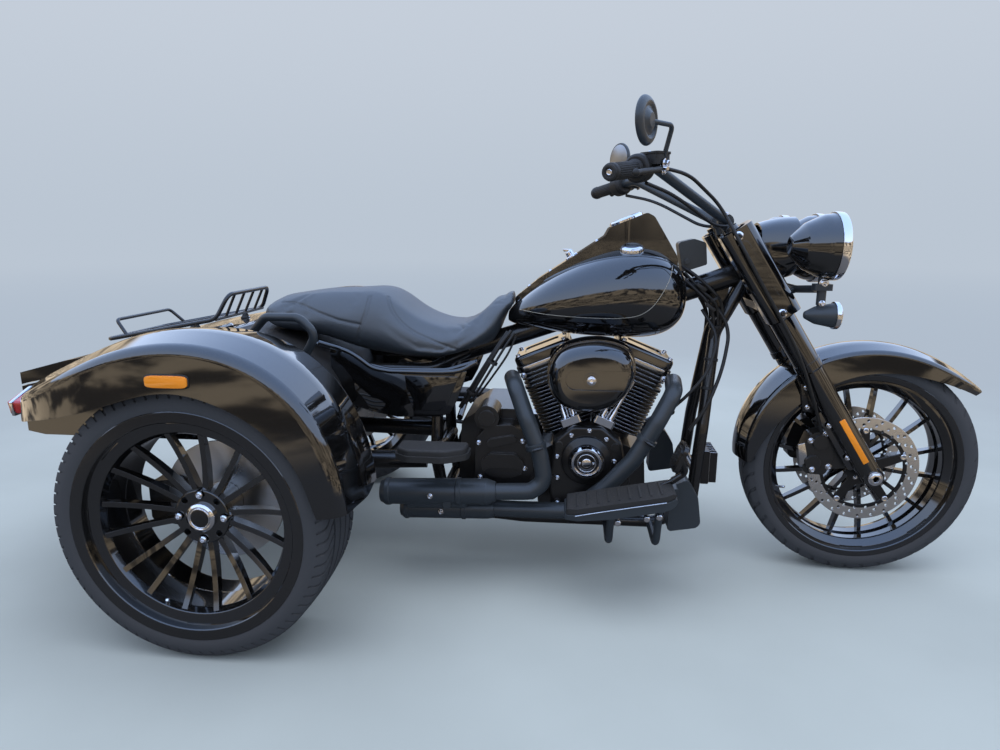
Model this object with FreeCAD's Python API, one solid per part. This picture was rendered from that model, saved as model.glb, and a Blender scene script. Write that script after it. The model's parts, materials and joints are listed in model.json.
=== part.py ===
import FreeCAD, Part
import math
import os

from FreeCAD import Vector as V

# Three-wheeled motorcycle. Millimetres, +X forward, +Y left, +Z up.
# The origin is on the ground, on the centreline, at the middle of the length.

# Overall driving sizes; the length follows from the wheels and the overhang
WIDTH = 1390.0
WHEELBASE = 1670.0
TAIL_OVERHANG = 681.0

# Wheels and tyres
REAR_R = 325.0
REAR_TYRE_W = 215.0
REAR_BEAD_R = 229.0
REAR_LIP_R = 247.0
REAR_RIM_W = 174.0
REAR_WHEEL_Y = 563.0
FRONT_R = 319.0
FRONT_TYRE_W = 130.0
FRONT_BEAD_R = 241.0
FRONT_LIP_R = 255.0
FRONT_RIM_W = 100.0
BEAD_SHELF = 10.0
LIP_FACE_W = 29.0
BARREL_DROP = 14.0
BEAD_FIT = 0.3
SPOKE_PAIRS = 8
SPOKE_SPREAD = 10.5
PAD_RECESS = 1.5
LUG_COUNT = 4
LUG_CIRCLE_R = 55.0
LUG_R = 9.0
LUG_HEIGHT = 25.0
LUG_POCKET_FIT = 2.5
REAR_HUB_R = 66.0
REAR_HUB_FACE = 33.0
REAR_HUB_BACK = -95.0
HUB_NECK_R = 48.0
HUB_CAP_R = 35.0
HUB_CAP_H = 12.0
REAR_AXLE_R = 20.0
FRONT_AXLE_R = 12.5
FRONT_AXLE_WALL = 4.0
AXLE_FIT = 0.05
REAR_DISC_R = 150.0
REAR_DISC_OFFSET = -78.0
FRONT_DISC_R = 150.0
FRONT_DISC_BAND = 42.0
DISC_T = 5.0
DISC_HOLE_R = 4.0
DISC_HOLES = 24
FRONT_DISC_Y = 66.0
CARRIER_ARMS = 5

# Steering
RAKE = 26.0
TRAIL = 100.0
FORK_ANGLE = 32.5
FORK_Y = 112.0
FORK_TUBE_R = 24.5
SLIDER_R = 31.0
STEM_R = 14.0
HEAD_TUBE_R = 27.0
HEAD_LOW_Z = 826.0
HEAD_HIGH_Z = 930.0

# Engine
CRANK_X = 250.0
CRANK_Z = 285.0
V_HALF_ANGLE = 22.5
FIN_COUNT = 13
FIN_PITCH = 11.0
FIN_T = 4.0
FIN_HALF = 86.0
BARREL_R = 62.0
CYLINDER_GAP = 1.5

# Body
TRUNK_HALF = 408.0
TRUNK_WALL = 5.0
FENDER_WALL = 5.0
SEAM = 5.0

# Axles in the part's frame
LENGTH = FRONT_R + WHEELBASE + TAIL_OVERHANG
FRONT_X = LENGTH / 2.0 - FRONT_R
REAR_X = FRONT_X - WHEELBASE
TAIL_X = REAR_X - TAIL_OVERHANG

# Body stations are read on a grid along the trike: the tail's end, the rear axle and the front axle
# stand at these values, and every station moves with them
GRID_TAIL = -1335.0
GRID_REAR = -654.0
GRID_FRONT = 1016.0


def sx(x):
    if x >= GRID_REAR:
        return REAR_X + (x - GRID_REAR) * WHEELBASE / (GRID_FRONT - GRID_REAR)
    return REAR_X + (x - GRID_REAR) * TAIL_OVERHANG / (GRID_REAR - GRID_TAIL)


# A place on the grid
def G(x, y, z):
    return V(sx(x), y, z)


os.makedirs("parts", exist_ok=True)


model = {}


# Keeps a piece's solids under its node name
def keep(name, *shapes):
    model[name] = shapes[0] if len(shapes) == 1 else Part.makeCompound(list(shapes))


# Scraps of a cut below this volume are dropped
SCRAP_VOLUME = 500.0


# Cuts away from a piece what its neighbours fill, so that they meet face to face
def trim(name, *others):
    shape = model[name]
    for other in others:
        shape = shape.cut(model[other])
    solids = [solid for solid in shape.Solids if solid.Volume > SCRAP_VOLUME]
    model[name] = solids[0] if len(solids) == 1 else Part.makeCompound(solids)


def unit(v):
    return V(v).normalize()


# Straight runs joined by tangent arcs, through 3D points
def path_edges(points, radii, closed=False):
    count = len(points)
    if not isinstance(radii, (list, tuple)):
        radii = [radii] * count
    starts = []
    ends = []
    arcs = []
    for i in range(count):
        p = points[i]
        r = radii[i]
        if (not closed and i in (0, count - 1)) or r <= 0:
            starts.append(p)
            ends.append(p)
            arcs.append(None)
            continue
        a = unit(points[i - 1] - p)
        b = unit(points[(i + 1) % count] - p)
        half = a.getAngle(b) / 2.0
        reach = r / math.tan(half)
        bisector = unit(a + b)
        first = p + a * reach
        last = p + b * reach
        middle = p + bisector * (r / math.sin(half) - r)
        starts.append(first)
        ends.append(last)
        arcs.append(Part.Arc(first, middle, last).toShape())
    edges = []
    for i in range(count):
        if arcs[i] is not None:
            edges.append(arcs[i])
        if i == count - 1 and not closed:
            break
        nxt = (i + 1) % count
        if ends[i].distanceToPoint(starts[nxt]) > 1e-6:
            edges.append(Part.LineSegment(ends[i], starts[nxt]).toShape())
    return edges


def outline(points, radii=0):
    return Part.Wire(path_edges(points, radii, True))


def slab(points, radii, direction):
    return Part.Face(outline(points, radii)).extrude(direction)


# A slab drawn on the grid in the XZ plane and spread between two Y values
def side_slab(points, radii, y0, y1):
    return slab([G(x, y0, z) for x, z in points], radii, V(0, y1 - y0, 0))


# The same, drawn from an axle's own place
def axle_slab(axle_x, points, radii, y0, y1):
    return slab([V(axle_x + x, y0, z) for x, z in points], radii, V(0, y1 - y0, 0))


# A slab drawn on the grid in the XY plane and spread between two Z values
def plan_slab(points, radii, z0, z1):
    return slab([G(x, y, z0) for x, y in points], radii, V(0, 0, z1 - z0))


# A slab drawn in the YZ plane and spread between two stations
def front_slab(points, radii, x0, x1):
    return slab([G(x0, y, z) for y, z in points], radii, V(sx(x1) - sx(x0), 0, 0))


def tube(points, r, bends=0):
    spine = Part.Wire(path_edges(points, bends))
    start = points[0]
    ring = Part.Wire(Part.Circle(start, unit(points[1] - start), r).toShape())
    return spine.makePipeShell([ring], True, False)


# A block centred on a place, with rounded upright corners
def plan_block(centre, length, width, height):
    corners = [centre + V(i * length / 2.0, j * width / 2.0, -height / 2.0)
               for i, j in ((-1, -1), (1, -1), (1, 1), (-1, 1))]
    return slab(corners, min(length, width) * 0.2, V(0, 0, height))


# A cable: each bend takes 0.45 of its shorter run, and the radii are printed
def cable(name, points, r):
    bends = [0.0]
    for i in range(1, len(points) - 1):
        a = points[i - 1] - points[i]
        b = points[i + 1] - points[i]
        bends.append(0.45 * min(a.Length, b.Length) * math.tan(unit(a).getAngle(unit(b)) / 2.0))
    bends.append(0.0)
    print(name, "bend radii", [round(bend, 1) for bend in bends[1:-1]])
    return tube(points, r, bends)


def rod(a, b, r):
    return Part.makeCylinder(r, (b - a).Length, a, unit(b - a))


def mirror_y(shape):
    return shape.mirror(V(0, 0, 0), V(0, 1, 0))


# A closed profile of (offset along the axis, radius), turned about an axis
def turned(profile, radii, centre, axis, side=None):
    axis = unit(axis)
    side = side or (V(0, 0, 1) if abs(axis.z) < 0.9 else V(1, 0, 0))
    out = unit(side - axis * side.dot(axis))
    points = [centre + axis * a + out * r for a, r in profile]
    return Part.Face(outline(points, radii)).revolve(centre, axis, 360.0)


# A closed smooth section at a station, from a superellipse
def oval_x(x, half_w, z_low, z_high, power, count=12, y_mid=0.0):
    mid = (z_low + z_high) / 2.0
    half_h = (z_high - z_low) / 2.0
    points = []
    for i in range(count):
        t = 2.0 * math.pi * (i + 0.5) / count
        c = math.cos(t)
        s = math.sin(t)
        y = half_w * math.copysign(abs(c) ** (2.0 / power), c)
        z = half_h * math.copysign(abs(s) ** (2.0 / power), s)
        points.append(G(x, y_mid + y, mid + z))
    curve = Part.BSplineCurve()
    curve.interpolate(points, PeriodicFlag=True)
    return Part.Wire(curve.toShape())


def loft(wires, ruled=False):
    return Part.makeLoft(wires, True, ruled)


# Wheels

AXLE_Y = V(0, 1, 0)


# A tyre turned from five lines and arcs; side is -1 on the right and +1 on the left
def tyre(centre, r, width, bead_r, lip_r, rim_w, side):
    seat = rim_w / 2.0 - BEAD_SHELF
    half = width / 2.0
    shoulder = half - 15.0
    shoulder_r = r - 7.0
    lip = lip_r + BEAD_FIT

    def at(y, radius):
        return centre + V(0, side * y, radius)

    edges = [Part.LineSegment(at(-seat, bead_r), at(seat, bead_r)).toShape(),
             Part.LineSegment(at(seat, bead_r), at(seat, lip)).toShape(),
             Part.Arc(at(seat, lip), at(half, (lip + r) / 2.0), at(shoulder, shoulder_r)).toShape(),
             Part.Arc(at(shoulder, shoulder_r), at(0, r), at(-shoulder, shoulder_r)).toShape(),
             Part.Arc(at(-shoulder, shoulder_r), at(-half, (lip + r) / 2.0), at(-seat, lip)).toShape(),
             Part.LineSegment(at(-seat, lip), at(-seat, bead_r)).toShape()]
    return Part.Face(Part.Wire(edges)).revolve(centre, AXLE_Y, 360.0)


def rim_barrel(centre, bead_r, lip_r, rim_w, side):
    half = rim_w / 2.0
    seat = half - BEAD_SHELF
    face_r = lip_r - LIP_FACE_W
    inner_r = bead_r - BARREL_DROP
    profile = [(half, lip_r), (seat, lip_r), (seat, bead_r), (-seat, bead_r), (-seat, lip_r),
               (-half, lip_r), (-half, lip_r - 9), (-seat + 6, inner_r), (-10, inner_r), (0, inner_r - 5),
               (seat - 12, inner_r - 5), (half - 6, face_r)]
    return turned(profile, [2, 0, 0, 0, 0, 2, 2, 6, 2, 2, 6, 3], centre, V(0, side, 0))


# The sunk pads on the lip's face, one between the two spokes of each pair
def lip_pads(centre, lip_r, rim_w, side):
    middle = lip_r - LIP_FACE_W / 2.0
    half_w = middle * math.sin(math.radians(SPOKE_SPREAD * 0.72))
    half_h = LIP_FACE_W / 2.0 - 5.0
    face = centre + V(0, side * (rim_w / 2.0 - PAD_RECESS), 0)
    pads = []
    for pair in range(SPOKE_PAIRS):
        corners = [(-half_w, middle - half_h), (half_w, middle - half_h), (half_w, middle + half_h),
                   (-half_w, middle + half_h)]
        pad = slab([face + V(x, 0, z) for x, z in corners], 6, V(0, side * PAD_RECESS * 2, 0))
        pad.rotate(centre, AXLE_Y, 90.0 + 360.0 / SPOKE_PAIRS * pair)
        pads.append(pad)
    return pads


# One spoke: a flat bar whose face dips from the hub and rises to the rim face
def spoke(centre, side, hub_r, rim_r, hub_face, dip_face, rim_face, depth, width, angle, spread):
    inner = hub_r
    outer = rim_r
    third = inner + (outer - inner) * 0.45
    face = Part.Arc(V(inner, hub_face, 0), V(third, dip_face, 0), V(outer, rim_face, 0)).toShape()
    back = Part.Arc(V(outer, rim_face - depth * 0.6, 0), V(third, dip_face - depth * 0.85, 0),
                    V(inner, hub_face - depth, 0)).toShape()
    ends = [Part.LineSegment(V(outer, rim_face, 0), V(outer, rim_face - depth * 0.6, 0)).toShape(),
            Part.LineSegment(V(inner, hub_face - depth, 0), V(inner, hub_face, 0)).toShape()]
    blade = Part.Face(Part.Wire([face, ends[0], back, ends[1]])).extrude(V(0, 0, width))
    blade.translate(V(0, 0, -width / 2.0))
    # the pair starts side by side at the hub and opens towards the rim
    start = V(hub_r, 0, 0)
    offset_hub = width * 0.85 * math.copysign(1, spread)
    offset_rim = outer * math.sin(math.radians(spread))
    tilt = math.degrees(math.atan2(offset_rim - offset_hub, outer - hub_r))
    blade.rotate(start, V(0, 1, 0), -tilt)
    blade.translate(V(0, 0, offset_hub))
    blade.rotate(V(0, 0, 0), V(0, 1, 0), angle)
    if side < 0:
        blade = mirror_y(blade)
    blade.translate(centre)
    return blade


def spokes(centre, side, hub_r, rim_r, hub_face, dip_face, rim_face, depth, width):
    bars = []
    for pair in range(SPOKE_PAIRS):
        angle = 360.0 / SPOKE_PAIRS * pair
        for spread in (-SPOKE_SPREAD, SPOKE_SPREAD):
            bars.append(spoke(centre, side, hub_r, rim_r, hub_face, dip_face, rim_face,
                              depth, width, angle, spread))
    return bars


# Places on a circle about a wheel's axis
def around_hub(centre, radius, count, start=0.0):
    spots = []
    for i in range(count):
        a = math.radians(360.0 / count * i + start)
        spots.append(centre + V(math.cos(a) * radius, 0, math.sin(a) * radius))
    return spots


LUG_FLOOR = REAR_HUB_FACE - 19.0


def rear_rim(side):
    centre = V(REAR_X, side * REAR_WHEEL_Y, REAR_R)
    out = V(0, side, 0)
    barrel = rim_barrel(centre, REAR_BEAD_R, REAR_LIP_R, REAR_RIM_W, side)
    hub = turned([(REAR_HUB_FACE, 0), (REAR_HUB_FACE, REAR_HUB_R), (6, REAR_HUB_R), (-8, HUB_NECK_R),
                  (REAR_HUB_BACK, HUB_NECK_R), (REAR_HUB_BACK, 0)], [0, 4, 4, 6, 0, 0], centre, out)
    blades = spokes(centre, side, REAR_HUB_R - 8, REAR_BEAD_R - 8, REAR_HUB_FACE - 4, 44.0,
                    REAR_RIM_W / 2.0 - 8, 24.0, 13.0)
    wheel = barrel.multiFuse([hub] + blades)
    pockets = [Part.makeCylinder(LUG_R + LUG_POCKET_FIT, REAR_HUB_FACE, spot + out * LUG_FLOOR, out)
               for spot in around_hub(centre, LUG_CIRCLE_R, LUG_COUNT)]
    # webs between the spoke roots are opened by small pockets
    windows = [Part.makeCylinder(8.0, REAR_HUB_FACE, spot + out * LUG_FLOOR, out)
               for spot in around_hub(centre, LUG_CIRCLE_R, LUG_COUNT, 45.0)]
    bore = Part.makeCylinder(REAR_AXLE_R + AXLE_FIT, 70.0, centre + out * (REAR_HUB_BACK - 1), out)
    return wheel.cut(pockets + windows + lip_pads(centre, REAR_LIP_R, REAR_RIM_W, side) + [bore]).removeSplitter()


# The cap over the hub with the lug nuts in their pockets
def hub_cap(side):
    centre = V(REAR_X, side * REAR_WHEEL_Y, REAR_R)
    out = V(0, side, 0)
    cap = turned([(REAR_HUB_FACE, 0), (REAR_HUB_FACE, HUB_CAP_R), (REAR_HUB_FACE + HUB_CAP_H - 4, HUB_CAP_R),
                  (REAR_HUB_FACE + HUB_CAP_H, HUB_CAP_R - 7), (REAR_HUB_FACE + HUB_CAP_H - 2, HUB_CAP_R - 12),
                  (REAR_HUB_FACE + HUB_CAP_H - 2, 0)], [0, 0, 3, 2, 0, 0], centre, out)
    nuts = []
    for spot in around_hub(centre, LUG_CIRCLE_R, LUG_COUNT):
        nuts.append(turned([(LUG_FLOOR, 0), (LUG_FLOOR, LUG_R), (LUG_FLOOR + LUG_HEIGHT, LUG_R),
                            (LUG_FLOOR + LUG_HEIGHT + 3, LUG_R - 3), (LUG_FLOOR + LUG_HEIGHT + 3, 4),
                            (LUG_FLOOR + LUG_HEIGHT - 4, 4), (LUG_FLOOR + LUG_HEIGHT - 4, 0)],
                           [0, 0, 1, 0, 0, 0, 0], spot, out))
    return [cap] + nuts


def rear_disc(side):
    centre = V(REAR_X, side * REAR_WHEEL_Y, REAR_R) + V(0, side * REAR_DISC_OFFSET, 0)
    out = V(0, side, 0)
    ring = Part.makeCylinder(REAR_DISC_R, DISC_T, centre, out)
    return ring.cut(Part.makeCylinder(HUB_NECK_R, DISC_T, centre, out))


for side, word in ((-1, "right"), (1, "left")):
    wheel_centre = V(REAR_X, side * REAR_WHEEL_Y, REAR_R)
    keep("rear_rim_" + word, rear_rim(side))
    keep("rear_hub_cap_" + word, *hub_cap(side))
    keep("rear_tyre_" + word, tyre(wheel_centre, REAR_R, REAR_TYRE_W, REAR_BEAD_R, REAR_LIP_R,
                                     REAR_RIM_W, side))
    keep("rear_disc_" + word, rear_disc(side))

# Front wheel

front_centre = V(FRONT_X, 0, FRONT_R)
FRONT_HUB_R = 42.0
FRONT_HUB_HALF = FRONT_DISC_Y - DISC_T - 3.0


def front_rim():
    barrel = rim_barrel(front_centre, FRONT_BEAD_R, FRONT_LIP_R, FRONT_RIM_W, 1)
    hub = turned([(FRONT_HUB_HALF, 0), (FRONT_HUB_HALF, 34), (20, FRONT_HUB_R), (-20, FRONT_HUB_R),
                  (-FRONT_HUB_HALF, 34), (-FRONT_HUB_HALF, 0)], 0, front_centre, AXLE_Y)
    blades = spokes(front_centre, 1, FRONT_HUB_R - 8, FRONT_BEAD_R - 8, 16.0, 13.0, 26.0, 30.0, 11.0)
    wheel = barrel.multiFuse([hub] + blades)
    bore = Part.makeCylinder(FRONT_AXLE_R + AXLE_FIT, 400.0, front_centre - AXLE_Y * 200, AXLE_Y)
    pads = []
    for face in (-1, 1):
        pads += lip_pads(front_centre, FRONT_LIP_R, FRONT_RIM_W, face)
    return wheel.cut([bore] + pads).removeSplitter()


# Drilled ring on a carrier with rounded arms
def front_disc(side):
    out = V(0, side, 0)
    base = front_centre + out * (FRONT_DISC_Y - DISC_T)
    ring = Part.makeCylinder(FRONT_DISC_R, DISC_T, base, out)
    ring = ring.cut(Part.makeCylinder(FRONT_DISC_R - FRONT_DISC_BAND, DISC_T, base, out))
    hub = Part.makeCylinder(46.0, DISC_T, base, out)
    arms = []
    for i in range(CARRIER_ARMS):
        a = math.radians(360.0 / CARRIER_ARMS * i + 20.0)
        reach = V(math.cos(a), 0, math.sin(a))
        across = V(-math.sin(a), 0, math.cos(a))
        tip = base + reach * (FRONT_DISC_R - FRONT_DISC_BAND + 8.0)
        root = base + reach * 30.0
        arms.append(slab([root - across * 15, root + across * 15, tip + across * 11, tip - across * 11], 0,
                         out * DISC_T))
    disc = ring.multiFuse([hub] + arms)
    # three rings of holes, each turned a little against the next
    holes = [Part.makeCylinder(FRONT_AXLE_R + 8.0, DISC_T * 3, base - out * DISC_T, out)]
    for row in range(3):
        radius = FRONT_DISC_R - 9.0 - row * 12.0
        for spot in around_hub(base, radius, DISC_HOLES, row * 360.0 / DISC_HOLES / 3.0):
            holes.append(Part.makeCylinder(DISC_HOLE_R, DISC_T * 3, spot - out * DISC_T, out))
    return disc.cut(holes).removeSplitter()


keep("front_rim", front_rim())
keep("front_tyre", tyre(front_centre, FRONT_R, FRONT_TYRE_W, FRONT_BEAD_R, FRONT_LIP_R,
                          FRONT_RIM_W, 1))
keep("front_discs", front_disc(-1), front_disc(1))

# Steering geometry

rake = math.radians(RAKE)
fork_tilt = math.radians(FORK_ANGLE)
HEAD_AXIS = V(-math.sin(rake), 0, math.cos(rake))
FORK_AXIS = V(-math.sin(fork_tilt), 0, math.cos(fork_tilt))
head_ground = V(FRONT_X + TRAIL, 0, 0)


def head_point(z):
    return head_ground + HEAD_AXIS * (z / HEAD_AXIS.z)


def fork_point(z, side):
    base = V(FRONT_X, side * FORK_Y, FRONT_R)
    return base + FORK_AXIS * ((z - FRONT_R) / FORK_AXIS.z)


CLAMP_LOW_Z = 795.0
CLAMP_HIGH_Z = 962.0
CLAMP_T = 26.0
LUG_IN = 22.0
LUG_OUT = 26.0


def clamp_plate(z):
    head = head_point(z)
    plate = slab([V(head.x - 36, -FORK_Y, z), V(head.x + 38, -40, z), V(head.x + 38, 40, z),
                  V(head.x - 36, FORK_Y, z), V(head.x - 46, FORK_Y - 50, z),
                  V(head.x - 46, 50 - FORK_Y, z)], [0, 20, 20, 0, 0, 0], V(0, 0, CLAMP_T))
    plate.translate(V(0, 0, -CLAMP_T / 2.0))
    plate.rotate(head, V(0, 1, 0), -RAKE)
    half = FORK_AXIS * (CLAMP_T / 2.0)
    rings = [rod(fork_point(z, s) - half, fork_point(z, s) + half, SLIDER_R + 4) for s in (-1, 1)]
    return plate.multiFuse(rings)


def fork():
    parts = [clamp_plate(CLAMP_LOW_Z), clamp_plate(CLAMP_HIGH_Z)]
    low = head_point(CLAMP_LOW_Z)
    high = head_point(CLAMP_HIGH_Z)
    parts.append(rod(low, high, STEM_R))
    for s in (-1, 1):
        bottom = fork_point(FRONT_R - 8, s)
        top = fork_point(CLAMP_HIGH_Z + 16, s)
        knee = fork_point(610.0, s)
        parts.append(rod(bottom, knee, SLIDER_R))
        parts.append(rod(knee, top, FORK_TUBE_R))
        lug = rod(V(FRONT_X, s * (FORK_Y - LUG_IN), FRONT_R), V(FRONT_X, s * (FORK_Y + LUG_OUT), FRONT_R),
                  27)
        parts.append(lug)
        # cap screw on top of each leg, and the flat boss that carries the mudguard and the brake
        parts.append(rod(top, top + FORK_AXIS * 10, FORK_TUBE_R - 6))
        foot = fork_point(FRONT_R + 30, s)
        head = fork_point(FRONT_R + 190, s)
        back = V(-FORK_AXIS.z, 0, FORK_AXIS.x)
        parts.append(slab([foot + back * 44, head + back * 44, head, foot], 10, V(0, -s * 14, 0)))
    solid = parts[0].multiFuse(parts[1:])
    bore = rod(V(FRONT_X, -200, FRONT_R), V(FRONT_X, 200, FRONT_R), FRONT_AXLE_R)
    return solid.cut(bore).removeSplitter()


def front_axle():
    reach = FORK_Y + LUG_OUT + 10
    bore = rod(V(FRONT_X, -reach, FRONT_R), V(FRONT_X, reach, FRONT_R), FRONT_AXLE_R - FRONT_AXLE_WALL)
    parts = [rod(V(FRONT_X, -reach, FRONT_R), V(FRONT_X, reach, FRONT_R), FRONT_AXLE_R)]
    for s in (-1, 1):
        parts.append(rod(V(FRONT_X, s * (FRONT_HUB_HALF + 5), FRONT_R), V(FRONT_X, s * (FORK_Y - LUG_IN), FRONT_R),
                         FRONT_AXLE_R + 4))
        parts.append(rod(V(FRONT_X, s * (FORK_Y + LUG_OUT), FRONT_R), V(FRONT_X, s * reach, FRONT_R), 19))
    return parts[0].multiFuse(parts[1:]).cut(bore).removeSplitter()


keep("fork", fork())
keep("front_axle", front_axle())

# Flat-sided covers over the upper fork tubes, and plain sleeves below them
COVER_BACK = 38.0
COVER_FRONT = 52.0
COVER_IN = 34.0
COVER_OUT = 38.0
COVER_LOW_Z = 752.0
SLEEVE_R = 34.0


def fork_covers():
    pieces = []
    front = V(FORK_AXIS.z, 0, -FORK_AXIS.x)
    for s in (-1, 1):
        low = fork_point(COVER_LOW_Z, s)
        high = fork_point(CLAMP_HIGH_Z + 14, s)
        step = V(0, s, 0)
        corners = [low - front * COVER_BACK - step * COVER_IN, low + front * COVER_FRONT - step * COVER_IN,
                   low + front * COVER_FRONT + step * COVER_OUT, low - front * COVER_BACK + step * COVER_OUT]
        shell = slab(corners, [20, 12, 26, 20], high - low)
        # raised strip down the outer side, between its two screws
        a = low + FORK_AXIS * 34
        b = high - FORK_AXIS * 34
        strip = slab([a - front * 15, a + front * 15, b + front * 15, b - front * 15], 12,
                     step * (COVER_OUT + 3))
        bolts = [rod(q, q + step * (COVER_OUT + 6), 9) for q in (a - FORK_AXIS * 18, b + FORK_AXIS * 18)]
        shell = shell.multiFuse([strip] + bolts).cut(rod(low, high, SLIDER_R + 4.3))
        pieces.append(shell.removeSplitter())
        # lower sleeve over the sliding joint
        a = fork_point(COVER_LOW_Z - 4, s)
        b = fork_point(615.0, s)
        collar = fork_point(633.0, s)
        pieces.append(rod(b, a, SLEEVE_R).fuse(rod(b, collar, SLEEVE_R + 2)).cut(rod(b, a, FORK_TUBE_R + 0.3)))
    return pieces


HEADLAMP_X = 862.0
HEADLAMP_Z = 930.0
HEADLAMP_R = 92.0
AUX_X = 832.0
AUX_Y = 215.0
AUX_Z = 940.0
AUX_R = 82.0


# A bowl with a rim ring and a sunk lens, facing forward; front is the ring's plane
def lamp(front, r, depth, ring):
    profile = [(-8, 0), (-8, r - 9), (0, r - 7), (0, r - 2), (-ring, r), (-ring, r * 0.965),
               (-depth * 0.36, r * 0.93), (-depth * 0.72, r * 0.68), (-depth, r * 0.28), (-depth, 0)]
    radii = [0, 0, 0, 2, 0, 0, 40, 30, 10, 0]
    return turned(profile, radii, front, V(1, 0, 0))


HEADLAMP_DEPTH = 118.0
AUX_DEPTH = 118.0
HEAD_ROOM = 25.0


# Housing that joins the headlamp to the fork clamps, open at the back round the head
def nacelle():
    back_x = HEADLAMP_X - HEADLAMP_DEPTH - 56.0
    shell = loft([oval_x(HEADLAMP_X - HEADLAMP_DEPTH + 40, 84, HEADLAMP_Z - 76, HEADLAMP_Z + 84, 2.3),
                  oval_x(HEADLAMP_X - HEADLAMP_DEPTH, 74, HEADLAMP_Z - 84, HEADLAMP_Z + 80, 2.6),
                  oval_x(back_x, 66, HEADLAMP_Z - 70, HEADLAMP_Z + 66, 3.0)])
    hollow = loft([oval_x(HEADLAMP_X - HEADLAMP_DEPTH + 6, 64, HEADLAMP_Z - 74, HEADLAMP_Z + 70, 2.6),
                   oval_x(back_x - 2, 60, HEADLAMP_Z - 64, HEADLAMP_Z + 60, 3.0)])
    return shell.cut(hollow)


keep("lamps", lamp(V(HEADLAMP_X, 0, HEADLAMP_Z), HEADLAMP_R, HEADLAMP_DEPTH, 22),
     *[lamp(V(AUX_X, s * AUX_Y, AUX_Z), AUX_R, AUX_DEPTH, 20) for s in (-1, 1)])
head_room = rod(head_point(HEAD_LOW_Z - 40), head_point(HEAD_HIGH_Z + 40), HEAD_TUBE_R + HEAD_ROOM)
housing = nacelle().cut(model["fork"]).cut(model["lamps"]).cut(head_room)
keep("fork_covers", *fork_covers(), housing)

SIGNAL_R = 31.0
LAMP_BAR_Z = 836.0


# Curved bar in front of the lower clamp, with a stalk under each driving lamp and a turn signal
def lamp_bar():
    z = LAMP_BAR_Z
    half = [V(FRONT_X - 226, 60, z - 14), V(FRONT_X - 204, 150, z - 6), V(FRONT_X - 216, AUX_Y, z + 4)]
    bar = tube([V(q.x, -q.y, q.z) for q in reversed(half)] + half, 10.0, [0, 50, 50, 50, 50, 0])
    parts = [bar]
    for s in (-1, 1):
        x = FRONT_X - 214
        parts.append(plan_block(V(x, s * AUX_Y, z + 4), 44, 30, 16))
        parts.append(rod(V(x, s * AUX_Y, z - 40), V(x, s * AUX_Y, AUX_Z - AUX_R + 10), 11))
        signal = turned([(0, 0), (0, SIGNAL_R - 4), (-3, SIGNAL_R - 1), (-3, SIGNAL_R + 2), (-14, SIGNAL_R + 2),
                         (-14, SIGNAL_R), (-58, 22), (-84, 8), (-84, 0)],
                        [0, 2, 0, 2, 2, 0, 20, 6, 0], V(FRONT_X - 168, s * AUX_Y, 770), V(1, 0, 0))
        parts.append(signal)
        parts.append(rod(V(x, s * AUX_Y, 780), V(x, s * AUX_Y, z - 12), 9))
        # arm back to the lower clamp
        parts.append(rod(V(FRONT_X - 226, s * 60, z - 14),
                         V(head_point(CLAMP_LOW_Z).x + 20, s * 40, CLAMP_LOW_Z + 8), 9))
    return parts[0].multiFuse(parts[1:]).removeSplitter()


keep("lamp_bar", lamp_bar())

# Handlebar

BAR_R = 12.7
BAR_CLAMP_X = 593.0
BAR_CLAMP_Z = 1000.0
RISER_Y = 45.0
BAR_RISE = [G(BAR_CLAMP_X, 62, BAR_CLAMP_Z), G(372, 245, 1128), G(262, 432, 1100)]


def bar_points():
    right = [V(p.x, -p.y, p.z) for p in reversed(BAR_RISE)]
    return right + BAR_RISE


def handlebar():
    parts = [tube(bar_points(), BAR_R, [0, 60, 45, 45, 60, 0])]
    for s in (-1, 1):
        foot = V(head_point(CLAMP_HIGH_Z).x - 42, s * RISER_Y, CLAMP_HIGH_Z + 6)
        parts.append(rod(foot, G(BAR_CLAMP_X, s * RISER_Y, BAR_CLAMP_Z), 15))
        parts.append(rod(G(BAR_CLAMP_X, s * (RISER_Y - 12), BAR_CLAMP_Z),
                         G(BAR_CLAMP_X, s * (RISER_Y + 12), BAR_CLAMP_Z), BAR_R + 8))
    return parts[0].multiFuse(parts[1:]).removeSplitter()


def grip_frame(side):
    a = V(BAR_RISE[1].x, side * BAR_RISE[1].y, BAR_RISE[1].z)
    b = V(BAR_RISE[2].x, side * BAR_RISE[2].y, BAR_RISE[2].z)
    along = unit(b - a)
    return a, b, along


GRIP_R = 18.0
GRIP_L = 118.0
POD_R = 33.0
POD_L = 46.0


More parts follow.
